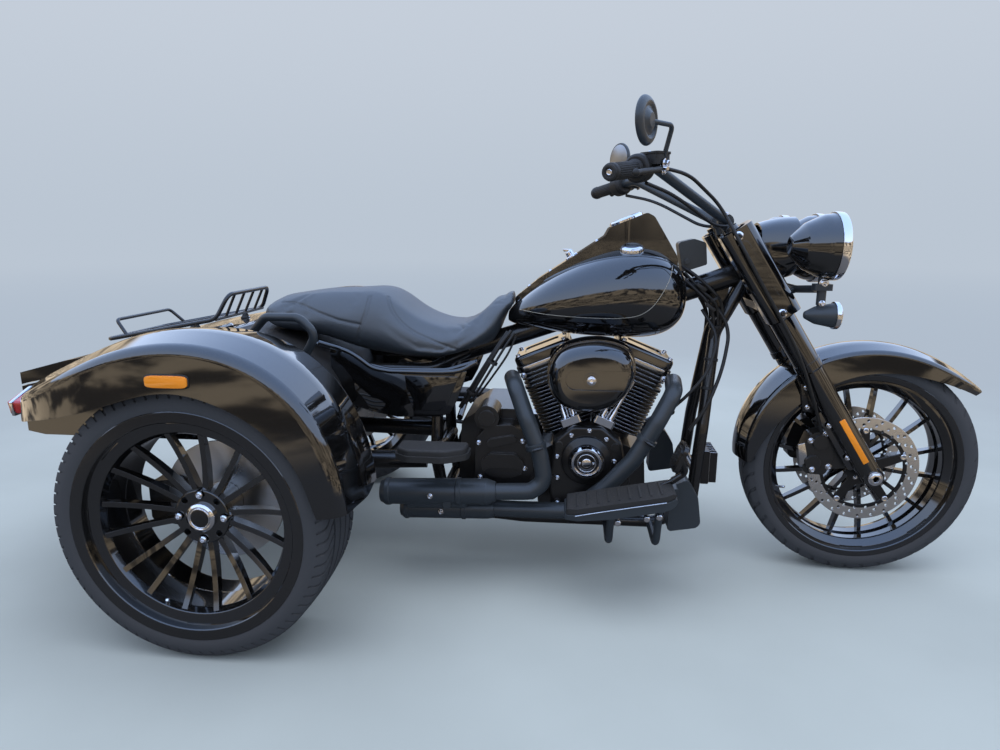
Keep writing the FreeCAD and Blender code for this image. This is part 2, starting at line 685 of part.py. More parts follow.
# Grip, switch pod, fluid reservoir with its lid, and lever
def hand_controls(side):
    a, b, along = grip_frame(side)
    core = rod(b - along * 320, b + along * 60, BAR_R)
    grip = turned([(-GRIP_L, 0), (-GRIP_L, GRIP_R + 4), (6 - GRIP_L, GRIP_R + 4), (10 - GRIP_L, GRIP_R),
                   (-8, GRIP_R), (-6, GRIP_R + 2), (4, GRIP_R + 2), (10, GRIP_R - 3), (10, 0)],
                  [0, 2, 2, 2, 1, 1, 2, 2, 0], b, along)
    plug = rod(b + along * 2, b + along * 12, GRIP_R - 7)
    start = GRIP_L + 1.0
    pod = turned([(-start - POD_L, 0), (-start - POD_L, POD_R - 8), (8 - start - POD_L, POD_R),
                  (-start - 6, POD_R), (-start, POD_R - 5), (-start, 0)],
                 [0, 6, 6, 6, 4, 0], b, along)
    forward = unit(V(1, 0, 0) - along * along.x)
    perch = rod(b - along * (start + POD_L + 6), b - along * (start + POD_L + 6) + forward * 46, 12)
    turn = side * -40
    tank = []
    for length, width, height, rise in ((46, 56, 24, 6), (50, 60, 5, 30)):
        box = plan_block(V(0, 0, height / 2.0), length, width, height)
        box.rotate(V(0, 0, 0), V(0, 0, 1), turn)
        box.translate(b - along * (start + POD_L - 6) + forward * 30 + V(0, 0, rise))
        tank.append(box)
    lever = tube([b - along * (start + 44) + forward * 42, b - along * start + forward * 58,
                  b - along * 10 + forward * 54], 6.5, [0, 30, 0])
    knob = Part.makeSphere(8.5, b - along * 10 + forward * 54)
    body = pod.multiFuse([perch, lever, knob] + tank).cut(core).removeSplitter()
    return [grip.cut(plug).cut(core).removeSplitter(), body]


MIRROR_W = 70.0
MIRROR_H = 52.0
MIRROR_TURN = 22.0


# Mirror head with a domed back on a cranked arm; the glass faces back and in
def mirror_arm(side):
    a, b, along = grip_frame(side)
    forward = unit(V(1, 0, 0) - along * along.x)
    foot = b - along * 160 + forward * 46
    top = G(330, side * 412, 1208)
    arm = tube([foot + V(0, 0, 6), G(398, side * 352, 1206), top + V(10, -side * 3, 0)], 5.5, [0, 14, 0])

    def ring(shrink, depth):
        oval = Part.Ellipse(V(0, 0, depth), MIRROR_W * shrink, MIRROR_H * shrink)
        return Part.Wire(oval.toShape())
    head = loft([ring(0.97, -1), ring(1.0, 3), ring(0.96, 8), ring(0.72, 14), ring(0.3, 18)])
    head.rotate(V(0, 0, 0), V(0, 0, 1), 90)
    head.rotate(V(0, 0, 0), V(0, 1, 0), 90)
    head.rotate(V(0, 0, 0), V(0, 0, 1), side * MIRROR_TURN)
    head.translate(top)
    return arm.fuse(head)


keep("handlebar", handlebar())
keep("hand_controls", *(hand_controls(-1) + hand_controls(1)))
keep("mirrors", mirror_arm(-1), mirror_arm(1))

# Front mudguard: a thin arch with a round crown, carried round the wheel

FRONT_GUARD_HALF = 78.0
FRONT_GUARD_WALL = 4.0


# Half section of a thin arch: the outer line up, over the crown and down, and back inside
def arch_wire(place, half, low, top, shoulder, corner, wall):
    outer = [(-half, low), (-half, top - shoulder), (0, top + shoulder * 0.12), (half, top - shoulder),
             (half, low)]
    inner = [(half - wall, low), (half - wall, top - shoulder - wall * 0.6), (0, top + shoulder * 0.12 - wall),
             (wall - half, top - shoulder - wall * 0.6), (wall - half, low)]
    crown = half * 1.5
    radii = [0, corner, crown, corner, 0, 0, corner - wall, crown - wall, corner - wall, 0]
    return outline([place(y, r) for y, r in outer + inner], radii)


def front_fender():
    # angle about the axle, crown radius, skirt depth and width at each station
    stations = [(178.0, 345.0, 34.0, 1.0), (155.0, 357.0, 78.0, 1.0), (125.0, 360.0, 95.0, 1.0),
                (95.0, 358.0, 84.0, 1.0), (65.0, 362.0, 66.0, 1.0), (46.0, 374.0, 44.0, 0.86),
                (37.0, 386.0, 30.0, 0.52)]
    wires = []
    for angle, crown, skirt, narrow in stations:
        a = math.radians(angle)
        out = V(math.cos(a), 0, math.sin(a))
        wires.append(arch_wire(lambda y, r: front_centre + out * r + V(0, y, 0), FRONT_GUARD_HALF * narrow,
                               crown - skirt, crown, 17 * narrow + 3, 12 * narrow + 2, FRONT_GUARD_WALL))
    return loft(wires)


keep("front_fender", front_fender())


# Four-piston brake caliper on its bracket behind the fork leg
def front_caliper(side):
    y0 = side * (FRONT_DISC_Y - DISC_T - 16)
    y1 = side * (FRONT_DISC_Y + 26)
    cx = -128.0
    cz = FRONT_R + 52.0
    body = axle_slab(FRONT_X, [(cx - 42, cz - 62), (cx + 16, cz - 66), (cx + 34, cz - 20), (cx + 30, cz + 30),
                               (cx + 8, cz + 66), (cx - 34, cz + 50), (cx - 52, cz - 6)],
                     [16, 14, 12, 12, 14, 18, 30], y0, y1)
    slot = Part.makeCylinder(FRONT_DISC_R + 2, DISC_T + 4,
                             front_centre + V(0, side * (FRONT_DISC_Y - DISC_T - 2), 0), V(0, side, 0))
    pistons = [rod(V(FRONT_X + cx - 12 + k * 8, y1, cz + k * 30), V(FRONT_X + cx - 12 + k * 8, y1 + side * 7,
                   cz + k * 30), 21) for k in (-1, 1)]
    arm = axle_slab(FRONT_X, [(cx + 10, cz - 50), (cx + 76, cz - 44), (cx + 50, cz + 40), (cx + 10, cz + 44)],
                    8, side * (FRONT_DISC_Y + 8), side * (FRONT_DISC_Y + 22))
    return body.cut(slot).multiFuse(pistons + [arm]).removeSplitter()


keep("front_calipers", front_caliper(-1), front_caliper(1))

# Engine

crank = G(CRANK_X, 0, CRANK_Z)


def cylinder_axis(sign):
    a = math.radians(V_HALF_ANGLE) * sign
    return V(math.sin(a), 0, math.cos(a))


# A rounded square fin or block, square to a cylinder's axis, at a distance from the crank
def cylinder_block(sign, start, height, half_x, half_y, corner):
    axis = cylinder_axis(sign)
    across = V(axis.z, 0, -axis.x)
    centre = crank + axis * start
    points = [centre + across * sx * half_x + V(0, sy * half_y, 0)
              for sx, sy in ((-1, -1), (1, -1), (1, 1), (-1, 1))]
    return slab(points, corner, axis * height)


BARREL_START = 150.0
HEAD_START = BARREL_START + FIN_COUNT * FIN_PITCH
HEAD_H = 52.0
ROCKER_H = 46.0


# The space past the middle plane, which belongs to the other cylinder
def other_side(sign):
    near = crank.x + CYLINDER_GAP * sign
    low_x = near if sign < 0 else near - 400
    return Part.makeBox(400, 400, 600, V(low_x, -200, CRANK_Z))


def cylinder(sign):
    axis = cylinder_axis(sign)
    barrel = rod(crank + axis * (BARREL_START - 12), crank + axis * (HEAD_START + 4), BARREL_R)
    parts = [barrel]
    for i in range(FIN_COUNT):
        parts.append(cylinder_block(sign, BARREL_START + FIN_PITCH * i, FIN_T, FIN_HALF, FIN_HALF - 2, 34))
    parts.append(cylinder_block(sign, HEAD_START, 8, FIN_HALF, FIN_HALF, 26))
    parts.append(cylinder_block(sign, HEAD_START + 2, HEAD_H - 2, FIN_HALF - 14, FIN_HALF - 12, 18))
    for i in range(3):
        parts.append(cylinder_block(sign, HEAD_START + 16 + 12 * i, FIN_T, FIN_HALF - 2, FIN_HALF - 2, 26))
    # the two cylinders' fins are cut back where they would meet between them
    return parts[0].multiFuse(parts[1:]).cut(other_side(sign)).removeSplitter()


# Rocker box in two tiers with a dished lid
def rocker_cover(sign):
    start = HEAD_START + HEAD_H
    base = cylinder_block(sign, start, 16, FIN_HALF + 2, FIN_HALF - 4, 20)
    waist = cylinder_block(sign, start + 16, 5, FIN_HALF - 5, FIN_HALF - 11, 18)
    top = cylinder_block(sign, start + 21, ROCKER_H - 21, FIN_HALF - 1, FIN_HALF - 8, 22)
    axis = cylinder_axis(sign)
    top = top.makeFillet(11, [e for e in top.Edges
                              if abs((e.CenterOfMass - crank).dot(axis) - start - ROCKER_H) < 0.01])
    dish = cylinder_block(sign, start + ROCKER_H - 3, 6, FIN_HALF - 34, FIN_HALF - 40, 16)
    return base.multiFuse([waist, top]).cut(dish).removeSplitter()


def crankcase():
    low = CRANK_Z - 118.0
    body = side_slab([(CRANK_X - 150, low + 30), (CRANK_X - 110, low), (CRANK_X + 120, low),
                      (CRANK_X + 158, low + 50), (CRANK_X + 150, CRANK_Z + 66),
                      (CRANK_X + 110, CRANK_Z + 90), (CRANK_X + 30, CRANK_Z + 118),
                      (CRANK_X - 30, CRANK_Z + 118), (CRANK_X - 110, CRANK_Z + 90),
                      (CRANK_X - 150, CRANK_Z + 66)], 18, -118.0, 118.0)
    for sign in (-1, 1):
        axis = cylinder_axis(sign)
        neck = rod(crank + axis * 90, crank + axis * (BARREL_START - 12.3), 70)
        body = body.fuse(neck.cut(other_side(sign)))
    return body.removeSplitter()


CAM_X = 236.0
CAM_Z = 352.0
CAM_RING_R = 46.0
CAM_FACE_Y = -205.0
CAM_LOBES = [(-78, -128), (76, -132), (104, -58), (78, 40), (-76, 40), (-86, -58)]


def cam_cover():
    body = side_slab([(CAM_X - 96, CAM_Z - 150), (CAM_X + 92, CAM_Z - 156), (CAM_X + 122, CAM_Z - 60),
                      (CAM_X + 96, CAM_Z + 50), (CAM_X + 40, CAM_Z + 96), (CAM_X - 40, CAM_Z + 96),
                      (CAM_X - 92, CAM_Z + 50), (CAM_X - 104, CAM_Z - 60)], 26, -118.0, CAM_FACE_Y + 30)
    body = body.makeFillet(9, [e for e in body.Edges if abs(e.CenterOfMass.y - CAM_FACE_Y - 30) < 0.01])
    out = V(0, -1, 0)
    centre = G(CAM_X, CAM_FACE_Y, CAM_Z)
    # the round cover: a raised ring, a groove, an inner ring and a flat middle
    cover = turned([(-60, 0), (-60, CAM_RING_R + 24), (-22, CAM_RING_R + 24), (-14, CAM_RING_R + 4),
                    (-6, CAM_RING_R), (0, CAM_RING_R - 6), (0, CAM_RING_R - 11), (-7, CAM_RING_R - 14),
                    (-7, 27), (-1, 25), (-1, 20), (-3, 18), (-3, 0)],
                   [0, 0, 6, 4, 2, 2, 1, 1, 1, 1, 1, 1, 0], centre, out)
    lobes = [rod(G(CAM_X + dx, -118, CAM_Z + dz), G(CAM_X + dx, CAM_FACE_Y + 24, CAM_Z + dz), 11)
             for dx, dz in CAM_LOBES]
    return body.multiFuse([cover] + lobes).removeSplitter()


# Tappet blocks with the covers of the pushrods up to the heads
def pushrods():
    pieces = []
    for sign in (-1, 1):
        axis = cylinder_axis(sign)
        foot = G(CAM_X + sign * 44, -136, CAM_Z + 98)
        block = Part.makeBox(58, 42, 22, V(-29, -21, -4))
        block = block.makeFillet(6, [e for e in block.Edges if abs(e.tangentAt(e.FirstParameter).z) > 0.9])
        block.rotate(V(0, 0, 0), V(0, 1, 0), sign * V_HALF_ANGLE)
        block.translate(foot)
        tubes = []
        for k in (-1, 1):
            a = foot + V(k * 13, 0, 0)
            b = crank + axis * (HEAD_START + 6) + V(axis.z, 0, -axis.x) * (-sign * 20 + k * 14)
            b = V(b.x, -FIN_HALF - 13, b.z)
            way = unit(b - a)
            tubes.append(rod(a, b, 7.5))
            tubes.append(rod(a, a + way * 40, 11.5))
            tubes.append(rod(b - way * 26, b, 10.5))
        pieces.append(block.multiFuse(tubes).removeSplitter())
    return pieces


GEARBOX_FRONT = CRANK_X - 150.3


GEARBOX_BOLTS = [(-58, 300), (-62, 400), (66, 330), (60, 408), (40, 274), (-30, 270)]


def gearbox():
    body = side_slab([(GEARBOX_FRONT, 210), (GEARBOX_FRONT, 350), (70, 400), (40, 480), (-60, 480), (-120, 440),
                      (-130, 260), (-90, 200)], 18, -130, 118)
    cover = side_slab([(72, 262), (92, 330), (78, 420), (30, 452), (-36, 448), (-70, 410), (-74, 290),
                       (-40, 256)], 24, -130, -196)
    pad = side_slab([(58, 312), (66, 348), (40, 372), (-30, 372), (-56, 348), (-48, 312), (-20, 300),
                     (30, 300)], 14, -196, -210)
    slot = side_slab([(56, 296), (56, 330), (-46, 330), (-46, 296)], 16, -203, -214)
    starter = rod(G(-40, -100, 470), G(-40, -196, 470), 34)
    end = rod(G(-40, -196, 470), G(-40, -204, 470), 22)
    plate = side_slab([(-50, 392), (-26, 386), (34, 402), (54, 412), (30, 424), (-30, 412)],
                      [10, 12, 12, 8, 12, 12], -196, -204)
    bolts = [rod(G(x, -196, z), G(x, -203, z), 7) for x, z in GEARBOX_BOLTS]
    return body.multiFuse([cover, pad, starter, end, plate] + bolts).cut(slot).removeSplitter()


def primary_cover():
    body = side_slab([(360, 214), (372, 300), (330, 388), (230, 402), (-60, 396), (-150, 372),
                      (-176, 300), (-150, 228), (-60, 196), (300, 182)], 56, 118.3, 196)
    edge = [e for e in body.Edges if abs(e.CenterOfMass.y - 196) < 0.01]
    body = body.makeFillet(16, edge)
    derby = rod(G(-60, 150, 300), G(-60, 206, 300), 62)
    cap = rod(G(270, 150, 290), G(270, 203, 290), 40)
    return body.multiFuse([derby, cap]).removeSplitter()


AIR_X = 240.0
AIR_Z = 598.0


# Egg-shaped air cleaner, widest towards the top front, with a sunk band across its face
def air_cleaner():
    def egg(grow, y):
        pts = []
        for i in range(12):
            t = 2 * math.pi * (i + 0.5) / 12
            c = math.cos(t)
            s = math.sin(t)
            x = (118 + grow) * math.copysign(abs(c) ** 0.85, c)
            z = (98 + grow) * math.copysign(abs(s) ** 0.85, s)
            x = x * (1 + 0.09 * z / 100.0 - 0.02)
            pts.append(G(AIR_X + x + z * 0.06, y, AIR_Z + z + x * 0.04))
        curve = Part.BSplineCurve()
        curve.interpolate(pts, PeriodicFlag=True)
        return Part.Wire(curve.toShape())
    plate = Part.Face(egg(0, -150)).extrude(V(0, -10, 0))
    element = Part.Face(egg(-9, -160)).extrude(V(0, -38, 0))
    ring = Part.Face(egg(-2, -198)).extrude(V(0, -10, 0))
    cover = loft([egg(-6, -208), egg(-7, -232), egg(-16, -254), egg(-38, -268)])
    band = side_slab([(AIR_X - 66, AIR_Z + 26), (AIR_X + 150, AIR_Z + 26), (AIR_X + 150, AIR_Z - 26),
                      (AIR_X - 66, AIR_Z - 26)], [25, 0, 0, 25], -262, -290)
    seat = rod(G(AIR_X, -240, AIR_Z), G(AIR_X, -264, AIR_Z), 19)
    bolt = rod(G(AIR_X, -240, AIR_Z), G(AIR_X, -269, AIR_Z), 10)
    neck = rod(G(AIR_X + 10, -84, AIR_Z - 10), G(AIR_X + 10, -150, AIR_Z - 10), 44)
    return plate.multiFuse([element, ring, cover]).cut(band).multiFuse([seat, bolt, neck]).removeSplitter()


keep("crankcase", crankcase())
keep("cylinder_rear", cylinder(-1))
keep("cylinder_front", cylinder(1))
keep("rocker_covers", rocker_cover(-1), rocker_cover(1))
keep("cam_cover", cam_cover())
keep("pushrods", *pushrods())
keep("gearbox", gearbox())
keep("primary_cover", primary_cover())
keep("air_cleaner", air_cleaner())

PIPE_R = 23.0
MUFFLER_R = 36.0


# Straight silencer behind a pipe: a neck, the can with two bands, and the outlet
def silencer(start, way, pipe_r, r, length):
    profile = [(0, 0), (0, pipe_r + 4), (length * 0.08, r), (length * 0.3, r), (length * 0.3 + 2, r + 2.5),
               (length * 0.3 + 12, r + 2.5), (length * 0.3 + 14, r), (length * 0.92, r),
               (length * 0.92 + 2, r + 2.5), (length * 0.96, r + 2.5), (length, r - 6), (length, r - 12),
               (length * 0.75, r - 12), (length * 0.75, 0)]
    return turned(profile, [0, 0, 12, 0, 0, 0, 0, 0, 0, 3, 0, 0, 0, 0], start, way, V(0, 0, 1))


def exhaust_rear():
    end = G(-10, -246, 276)
    way = unit(G(-340, -246, 264) - end)
    pipe = tube([G(22, -104, 566), G(38, -190, 560), G(72, -222, 477), G(108, -232, 388),
                 G(124, -236, 306), G(86, -242, 279.5), end], PIPE_R, [0, 40, 60, 90, 38, 38, 0])
    can = silencer(end - way * 2, way, PIPE_R, MUFFLER_R, 318.0)
    # chamber slung under the can, with the bracket's boss
    under = end + way * 70 - V(0, 0, 24)
    chamber = turned([(0, 0), (12, 24), (178, 24), (190, 0)], [0, 14, 14, 0], under, way, V(0, 0, 1))
    boss = rod(under + way * 60 + V(0, -16, -4), under + way * 60 + V(0, -30, -4), 12)
    clamp = rod(G(96, -233, 414), G(100, -233, 400), PIPE_R + 5)
    return pipe.multiFuse([can, chamber, boss, clamp]).removeSplitter()


def exhaust_front():
    end = G(-20, -196, 206)
    way = unit(G(-340, -196, 196) - end)
    pipe = tube([G(470, -104, 566), G(462, -190, 556), G(420, -214, 480), G(360, -220, 372),
                 G(290, -216, 290), G(200, -209, 214), G(60, -202, 208.5), end], PIPE_R,
                [0, 40, 60, 120, 120, 90, 60, 0])
    can = silencer(end - way * 2, way, PIPE_R, 30.0, 266.0)
    clamp = rod(G(396, -217, 436), G(389, -217, 424), PIPE_R + 5)
    return pipe.multiFuse([can, clamp]).removeSplitter()


keep("exhaust_rear", exhaust_rear())
keep("exhaust_front", exhaust_front())

# Fuel tank, console and seat


def tank_shape():
    rows = [(4, 40, 716, 746, 2.2), (45, 92, 706, 790, 2.4), (130, 136, 692, 852, 2.5),
            (230, 158, 681, 902, 2.5), (330, 166, 678, 930, 2.5), (410, 158, 682, 924, 2.5),
            (462, 138, 704, 894, 2.6), (492, 104, 752, 848, 2.6)]
    return loft([oval_x(x, w, lo, hi, p) for x, w, lo, hi, p in rows])


def console_shape():
    side = side_slab([(22, 748), (22, 786), (90, 842), (236, 938), (272, 962), (284, 984), (384, 1024),
                      (404, 1014), (474, 904), (478, 836), (130, 786)],
                     [0, 12, 60, 60, 8, 10, 14, 24, 30, 0, 0], -80, 80)
    plan = plan_slab([(0, -14), (110, -40), (240, -55), (330, -62), (430, -50), (490, -34), (490, 34),
                      (430, 50), (330, 62), (240, 55), (110, 40), (0, 14)], [0, 80, 120, 80, 60, 0] * 2,
                     600, 1100)
    return side.common(plan)


DIAL_R = 47.0


# Round dial let into the top of the console
def dial():
    foot = G(333, 0, 1001)
    way = V(-0.372, 0, 0.928)
    return turned([(0, 0), (0, DIAL_R), (8, DIAL_R), (11, DIAL_R - 4), (9, DIAL_R - 8), (4, DIAL_R - 10), (4, 0)],
                  [0, 0, 2, 2, 1, 0, 0], foot, way)


BACKBONE_R = 30.0
backbone = [G(675, 0, 868), G(480, 0, 800), G(160, 0, 722), G(-160, 0, 612)]


def backbone_tunnel():
    return tube(backbone, BACKBONE_R + 2, [0, 200, 200, 0])


tank = tank_shape().cut(backbone_tunnel())
console = console_shape().cut(tank_shape()).cut(backbone_tunnel())
keep("fuel_tank", tank)
cap_foot = G(345, -74, 912)
fuel_cap = turned([(0, 0), (0, 30), (20, 30), (27, 22), (27, 0)], [0, 0, 5, 3, 0], cap_foot,
                  V(-0.05, -0.25, 1)).cut(tank_shape()).cut(console)
keep("tank_console", console.cut(dial()), fuel_cap, dial())


def seat_shape():
    rows = [(-704, 104, 708, 756, 2.6), (-680, 134, 694, 776, 2.8), (-600, 152, 678, 788, 3.0),
            (-500, 160, 660, 799, 3.0), (-420, 166, 634, 802, 3.0), (-352, 172, 622, 800, 3.0),
            (-312, 178, 618, 778, 3.0), (-270, 184, 616, 746, 3.0), (-220, 186, 616, 720, 3.0),
            (-160, 180, 620, 706, 3.0), (-110, 160, 634, 714, 3.0), (-64, 130, 646, 744, 2.8),
            (-24, 100, 674, 784, 2.6), (22, 66, 740, 810, 2.4)]
    return loft([oval_x(x, w, lo, hi, p) for x, w, lo, hi, p in rows])


seat = seat_shape().cut(tank_shape()).cut(console_shape()).cut(backbone_tunnel())
keep("seat", seat)

# Rear body: a hollow trunk between two fenders, with a lid hinged at its front edge

LID_HINGE_X = -762.0
LID_HINGE_Z = 706.0
LID_REAR_X = GRID_TAIL + 34.0
LID_DEPTH = 36.0
TRUNK_FRONT_X = -735.0
TRUNK_FLOOR_Z = 448.0


# Plan outline of the tail: straight sides that round into an elliptical rear
def tail_plan(inset, z0, z1, half):
    a = -TAIL_X + REAR_X - inset
    b = WIDTH / 2.0 - inset
    points = []
    for i in range(9):
        y = -half + 2.0 * half * i / 8
        points.append(V(REAR_X - a * math.sqrt(max(0.0, 1 - abs(y / b) ** 2.3)), y, z0))
    curve = Part.BSplineCurve()
    curve.interpolate(points)
    edge = curve.toShape()
    front = REAR_X + 260
    rest = [Part.LineSegment(points[-1], V(front, half, z0)).toShape(),
            Part.LineSegment(V(front, half, z0), V(front, -half, z0)).toShape(),
            Part.LineSegment(V(front, -half, z0), points[0]).toShape()]
    return Part.Face(Part.Wire([edge] + rest)).extrude(V(0, 0, z1 - z0))


def trunk_form(inset):
    top = -inset
    side = side_slab([(TRUNK_FRONT_X - inset, 712 + top), (-900, 686 + top), (-1100, 646 + top),
                      (-1250, 606 + top), (GRID_TAIL - 40 + inset, 566 + top),
                      (GRID_TAIL - 40 + inset, 500), (-1296, 470), (-1180, TRUNK_FLOOR_Z + inset),
                      (TRUNK_FRONT_X - inset, TRUNK_FLOOR_Z + inset)],
                     [20, 0, 0, 60, 10, 20, 60, 20, 20], -600, 600)
    return side.common(tail_plan(inset, 300, 900, TRUNK_HALF - inset))


def lid_band(gap):
    # the band above the seam between lid and trunk
    low = [(LID_HINGE_X + gap, LID_HINGE_Z - 34 + gap), (-900, 686 - LID_DEPTH + gap),
           (-1100, 646 - LID_DEPTH + gap), (-1250, 606 - LID_DEPTH + gap),
           (LID_REAR_X - 80, 560 - LID_DEPTH + gap)]
    points = [(LID_HINGE_X + gap, 900)] + low + [(LID_REAR_X - 80, 900)]
    return side_slab(points, 0, -600, 600)


trunk_shell = trunk_form(0).cut(trunk_form(TRUNK_WALL))
lid = trunk_shell.common(lid_band(0))
# Hinge knuckles on the pin line: one of each pair on the lid, the other on the trunk
LID_PIN_X = LID_HINGE_X + 6.0
LID_PIN_Z = LID_HINGE_Z + 6.0
KNUCKLE_R = 9.0
KNUCKLE_W = 34.0
KNUCKLE_Y = 200.0
KNUCKLE_GAP = 0.5


def knuckle(side, offset):
    a = side * (KNUCKLE_Y + offset)
    b = side * (KNUCKLE_Y + offset + KNUCKLE_W)
    return rod(G(LID_PIN_X, a, LID_PIN_Z), G(LID_PIN_X, b, LID_PIN_Z), KNUCKLE_R)


lid_knuckles = [knuckle(s, 0) for s in (-1, 1)]
body_knuckles = [knuckle(s, KNUCKLE_W + KNUCKLE_GAP) for s in (-1, 1)]
lid_clear = [rod(G(LID_PIN_X, s * (KNUCKLE_Y - 6), LID_PIN_Z), G(LID_PIN_X, s * (KNUCKLE_Y + KNUCKLE_W + 0.2),
             LID_PIN_Z), KNUCKLE_R + 2) for s in (-1, 1)]
body_clear = [rod(G(LID_PIN_X, s * (KNUCKLE_Y + KNUCKLE_W + 0.3), LID_PIN_Z),
                  G(LID_PIN_X, s * (KNUCKLE_Y + KNUCKLE_W * 2 + 8), LID_PIN_Z), KNUCKLE_R + 2) for s in (-1, 1)]
keep("trunk_body", trunk_shell.cut(lid_band(0)).cut(lid_clear).multiFuse(body_knuckles))
lid_seam = side_slab([(LID_HINGE_X + 1, 900), (LID_HINGE_X + 1, LID_HINGE_Z - 34),
                      (-900, 686 - LID_DEPTH), (-1100, 646 - LID_DEPTH), (-1250, 606 - LID_DEPTH),
                      (LID_REAR_X - 80, 560 - LID_DEPTH), (LID_REAR_X - 80, 560 - LID_DEPTH + SEAM),
                      (-1250, 606 - LID_DEPTH + SEAM), (-1100, 646 - LID_DEPTH + SEAM),
                      (-900, 686 - LID_DEPTH + SEAM), (LID_HINGE_X - SEAM, LID_HINGE_Z - 34 + SEAM),
                      (LID_HINGE_X - SEAM, 900)], 0, -600, 600)
leaves = [rod(G(LID_PIN_X - 24, s * (KNUCKLE_Y + KNUCKLE_W / 2), LID_PIN_Z - 2.5),
              G(LID_PIN_X, s * (KNUCKLE_Y + KNUCKLE_W / 2), LID_PIN_Z), 4) for s in (-1, 1)]
keep("trunk_lid", lid.cut(lid_seam).cut(body_clear).multiFuse(lid_knuckles + leaves))

# Each rear mudguard is a thin arch carried round the wheel and drawn out to the tail.
# A station gives the skirt's foot, the shoulder and the crown as places in the XZ plane,
# then the outer and inner faces and how far the inner face comes down.

HALF_W = WIDTH / 2.0
FENDER_IN = TRUNK_HALF + 0.3
ARCH_GAP = -9.0
SHOULDER_R = 26.0


def fender_station(lip, shoulder, crown, y_out, y_in, drop):
    up = V(crown[0] - lip[0], 0, crown[1] - lip[1]).normalize()
    width = y_out - y_in
    y_crown = y_out - width * 0.40

    def at(y, base, rise=0.0):
        return V(base[0], y, base[1]) + up * rise

    def loop(t):
        return [at(y_out - t, shoulder, 3 - t * 0.5), at(y_crown, crown, 4 - t),
                at(y_in + width * 0.16, crown, -12 - t), at(y_in + t, crown, -46 - t)]
    wall = FENDER_WALL
    outer = [at(y_out, lip)] + loop(0.0) + [at(y_in, crown, -drop)]
    inner = [at(y_in + wall, crown, -drop)] + loop(wall)[::-1] + [at(y_out - wall, lip)]
    bend = min(SHOULDER_R, width * 0.1)
    radii = [0, bend, width * 0.45, width * 0.12, width * 0.08, 0]
    back = [0, width * 0.08, width * 0.12 + 2, width * 0.45, max(bend - wall, 3.0), 0]
    return outline(outer + inner, radii + back)


# A place at an angle about the rear axle, at a distance past the tyre
def around(angle, past):
    a = math.radians(angle)
    return (REAR_X + (REAR_R + past) * math.cos(a), REAR_R + (REAR_R + past) * math.sin(a))


def upright(x, z):
    return (sx(x), z)


def rear_fender():
    inner = FENDER_IN
    stations = [
        (around(9, ARCH_GAP), around(9, 49), around(9, 67), HALF_W - 4, inner, 60),
        (around(28, ARCH_GAP), around(28, 65), around(28, 83), HALF_W, inner, 64),
        (around(52, ARCH_GAP), around(52, 92), around(52, 108), HALF_W, inner, 70),
        (around(80, ARCH_GAP), around(80, 92), around(80, 112), HALF_W, inner, 76),
        (around(102, ARCH_GAP - 3), around(102, 84), around(102, 109), HALF_W, inner, 76),
        (upright(-858, 590), upright(-858, 684), upright(-858, 713), HALF_W - 6, inner, 72),
        (upright(-966, 565), upright(-966, 636), upright(-966, 668), HALF_W - 34, inner, 68),
        (upright(-1064, 540), upright(-1064, 596), upright(-1064, 627), HALF_W - 98, inner, 62),
        (upright(-1146, 524), upright(-1146, 562), upright(-1146, 586), HALF_W - 188, inner, 56)]
    return loft([fender_station(*s) for s in stations])


fender_left = rear_fender()
keep("rear_fender_left", fender_left)
keep("rear_fender_right", mirror_y(fender_left))


def tail_lamp():
    return front_slab([(418, 528), (500, 528), (506, 560), (440, 582), (418, 580)], [0, 8, 8, 0, 0],
                      -1146.3, -1176)


keep("tail_lamps", tail_lamp(), mirror_y(tail_lamp()))


def front_valance():
    return side_slab([(TRUNK_FRONT_X + 0.3, 706), (-660, 690), (-560, 650), (-470, 610), (-440, 560),
                      (-448, 470), (-500, 446), (TRUNK_FRONT_X + 0.3, TRUNK_FLOOR_Z)],
                     [0, 20, 30, 30, 30, 30, 20, 0], -300, 300)


keep("front_valance", front_valance())

RACK_HALF = 150.0
RACK_R = 6.0
RACK_BAR_R = 4.0
RACK_FRONT_X = -826.0
RACK_REAR_X = -1168.0
RACK_SLOPE = 0.19


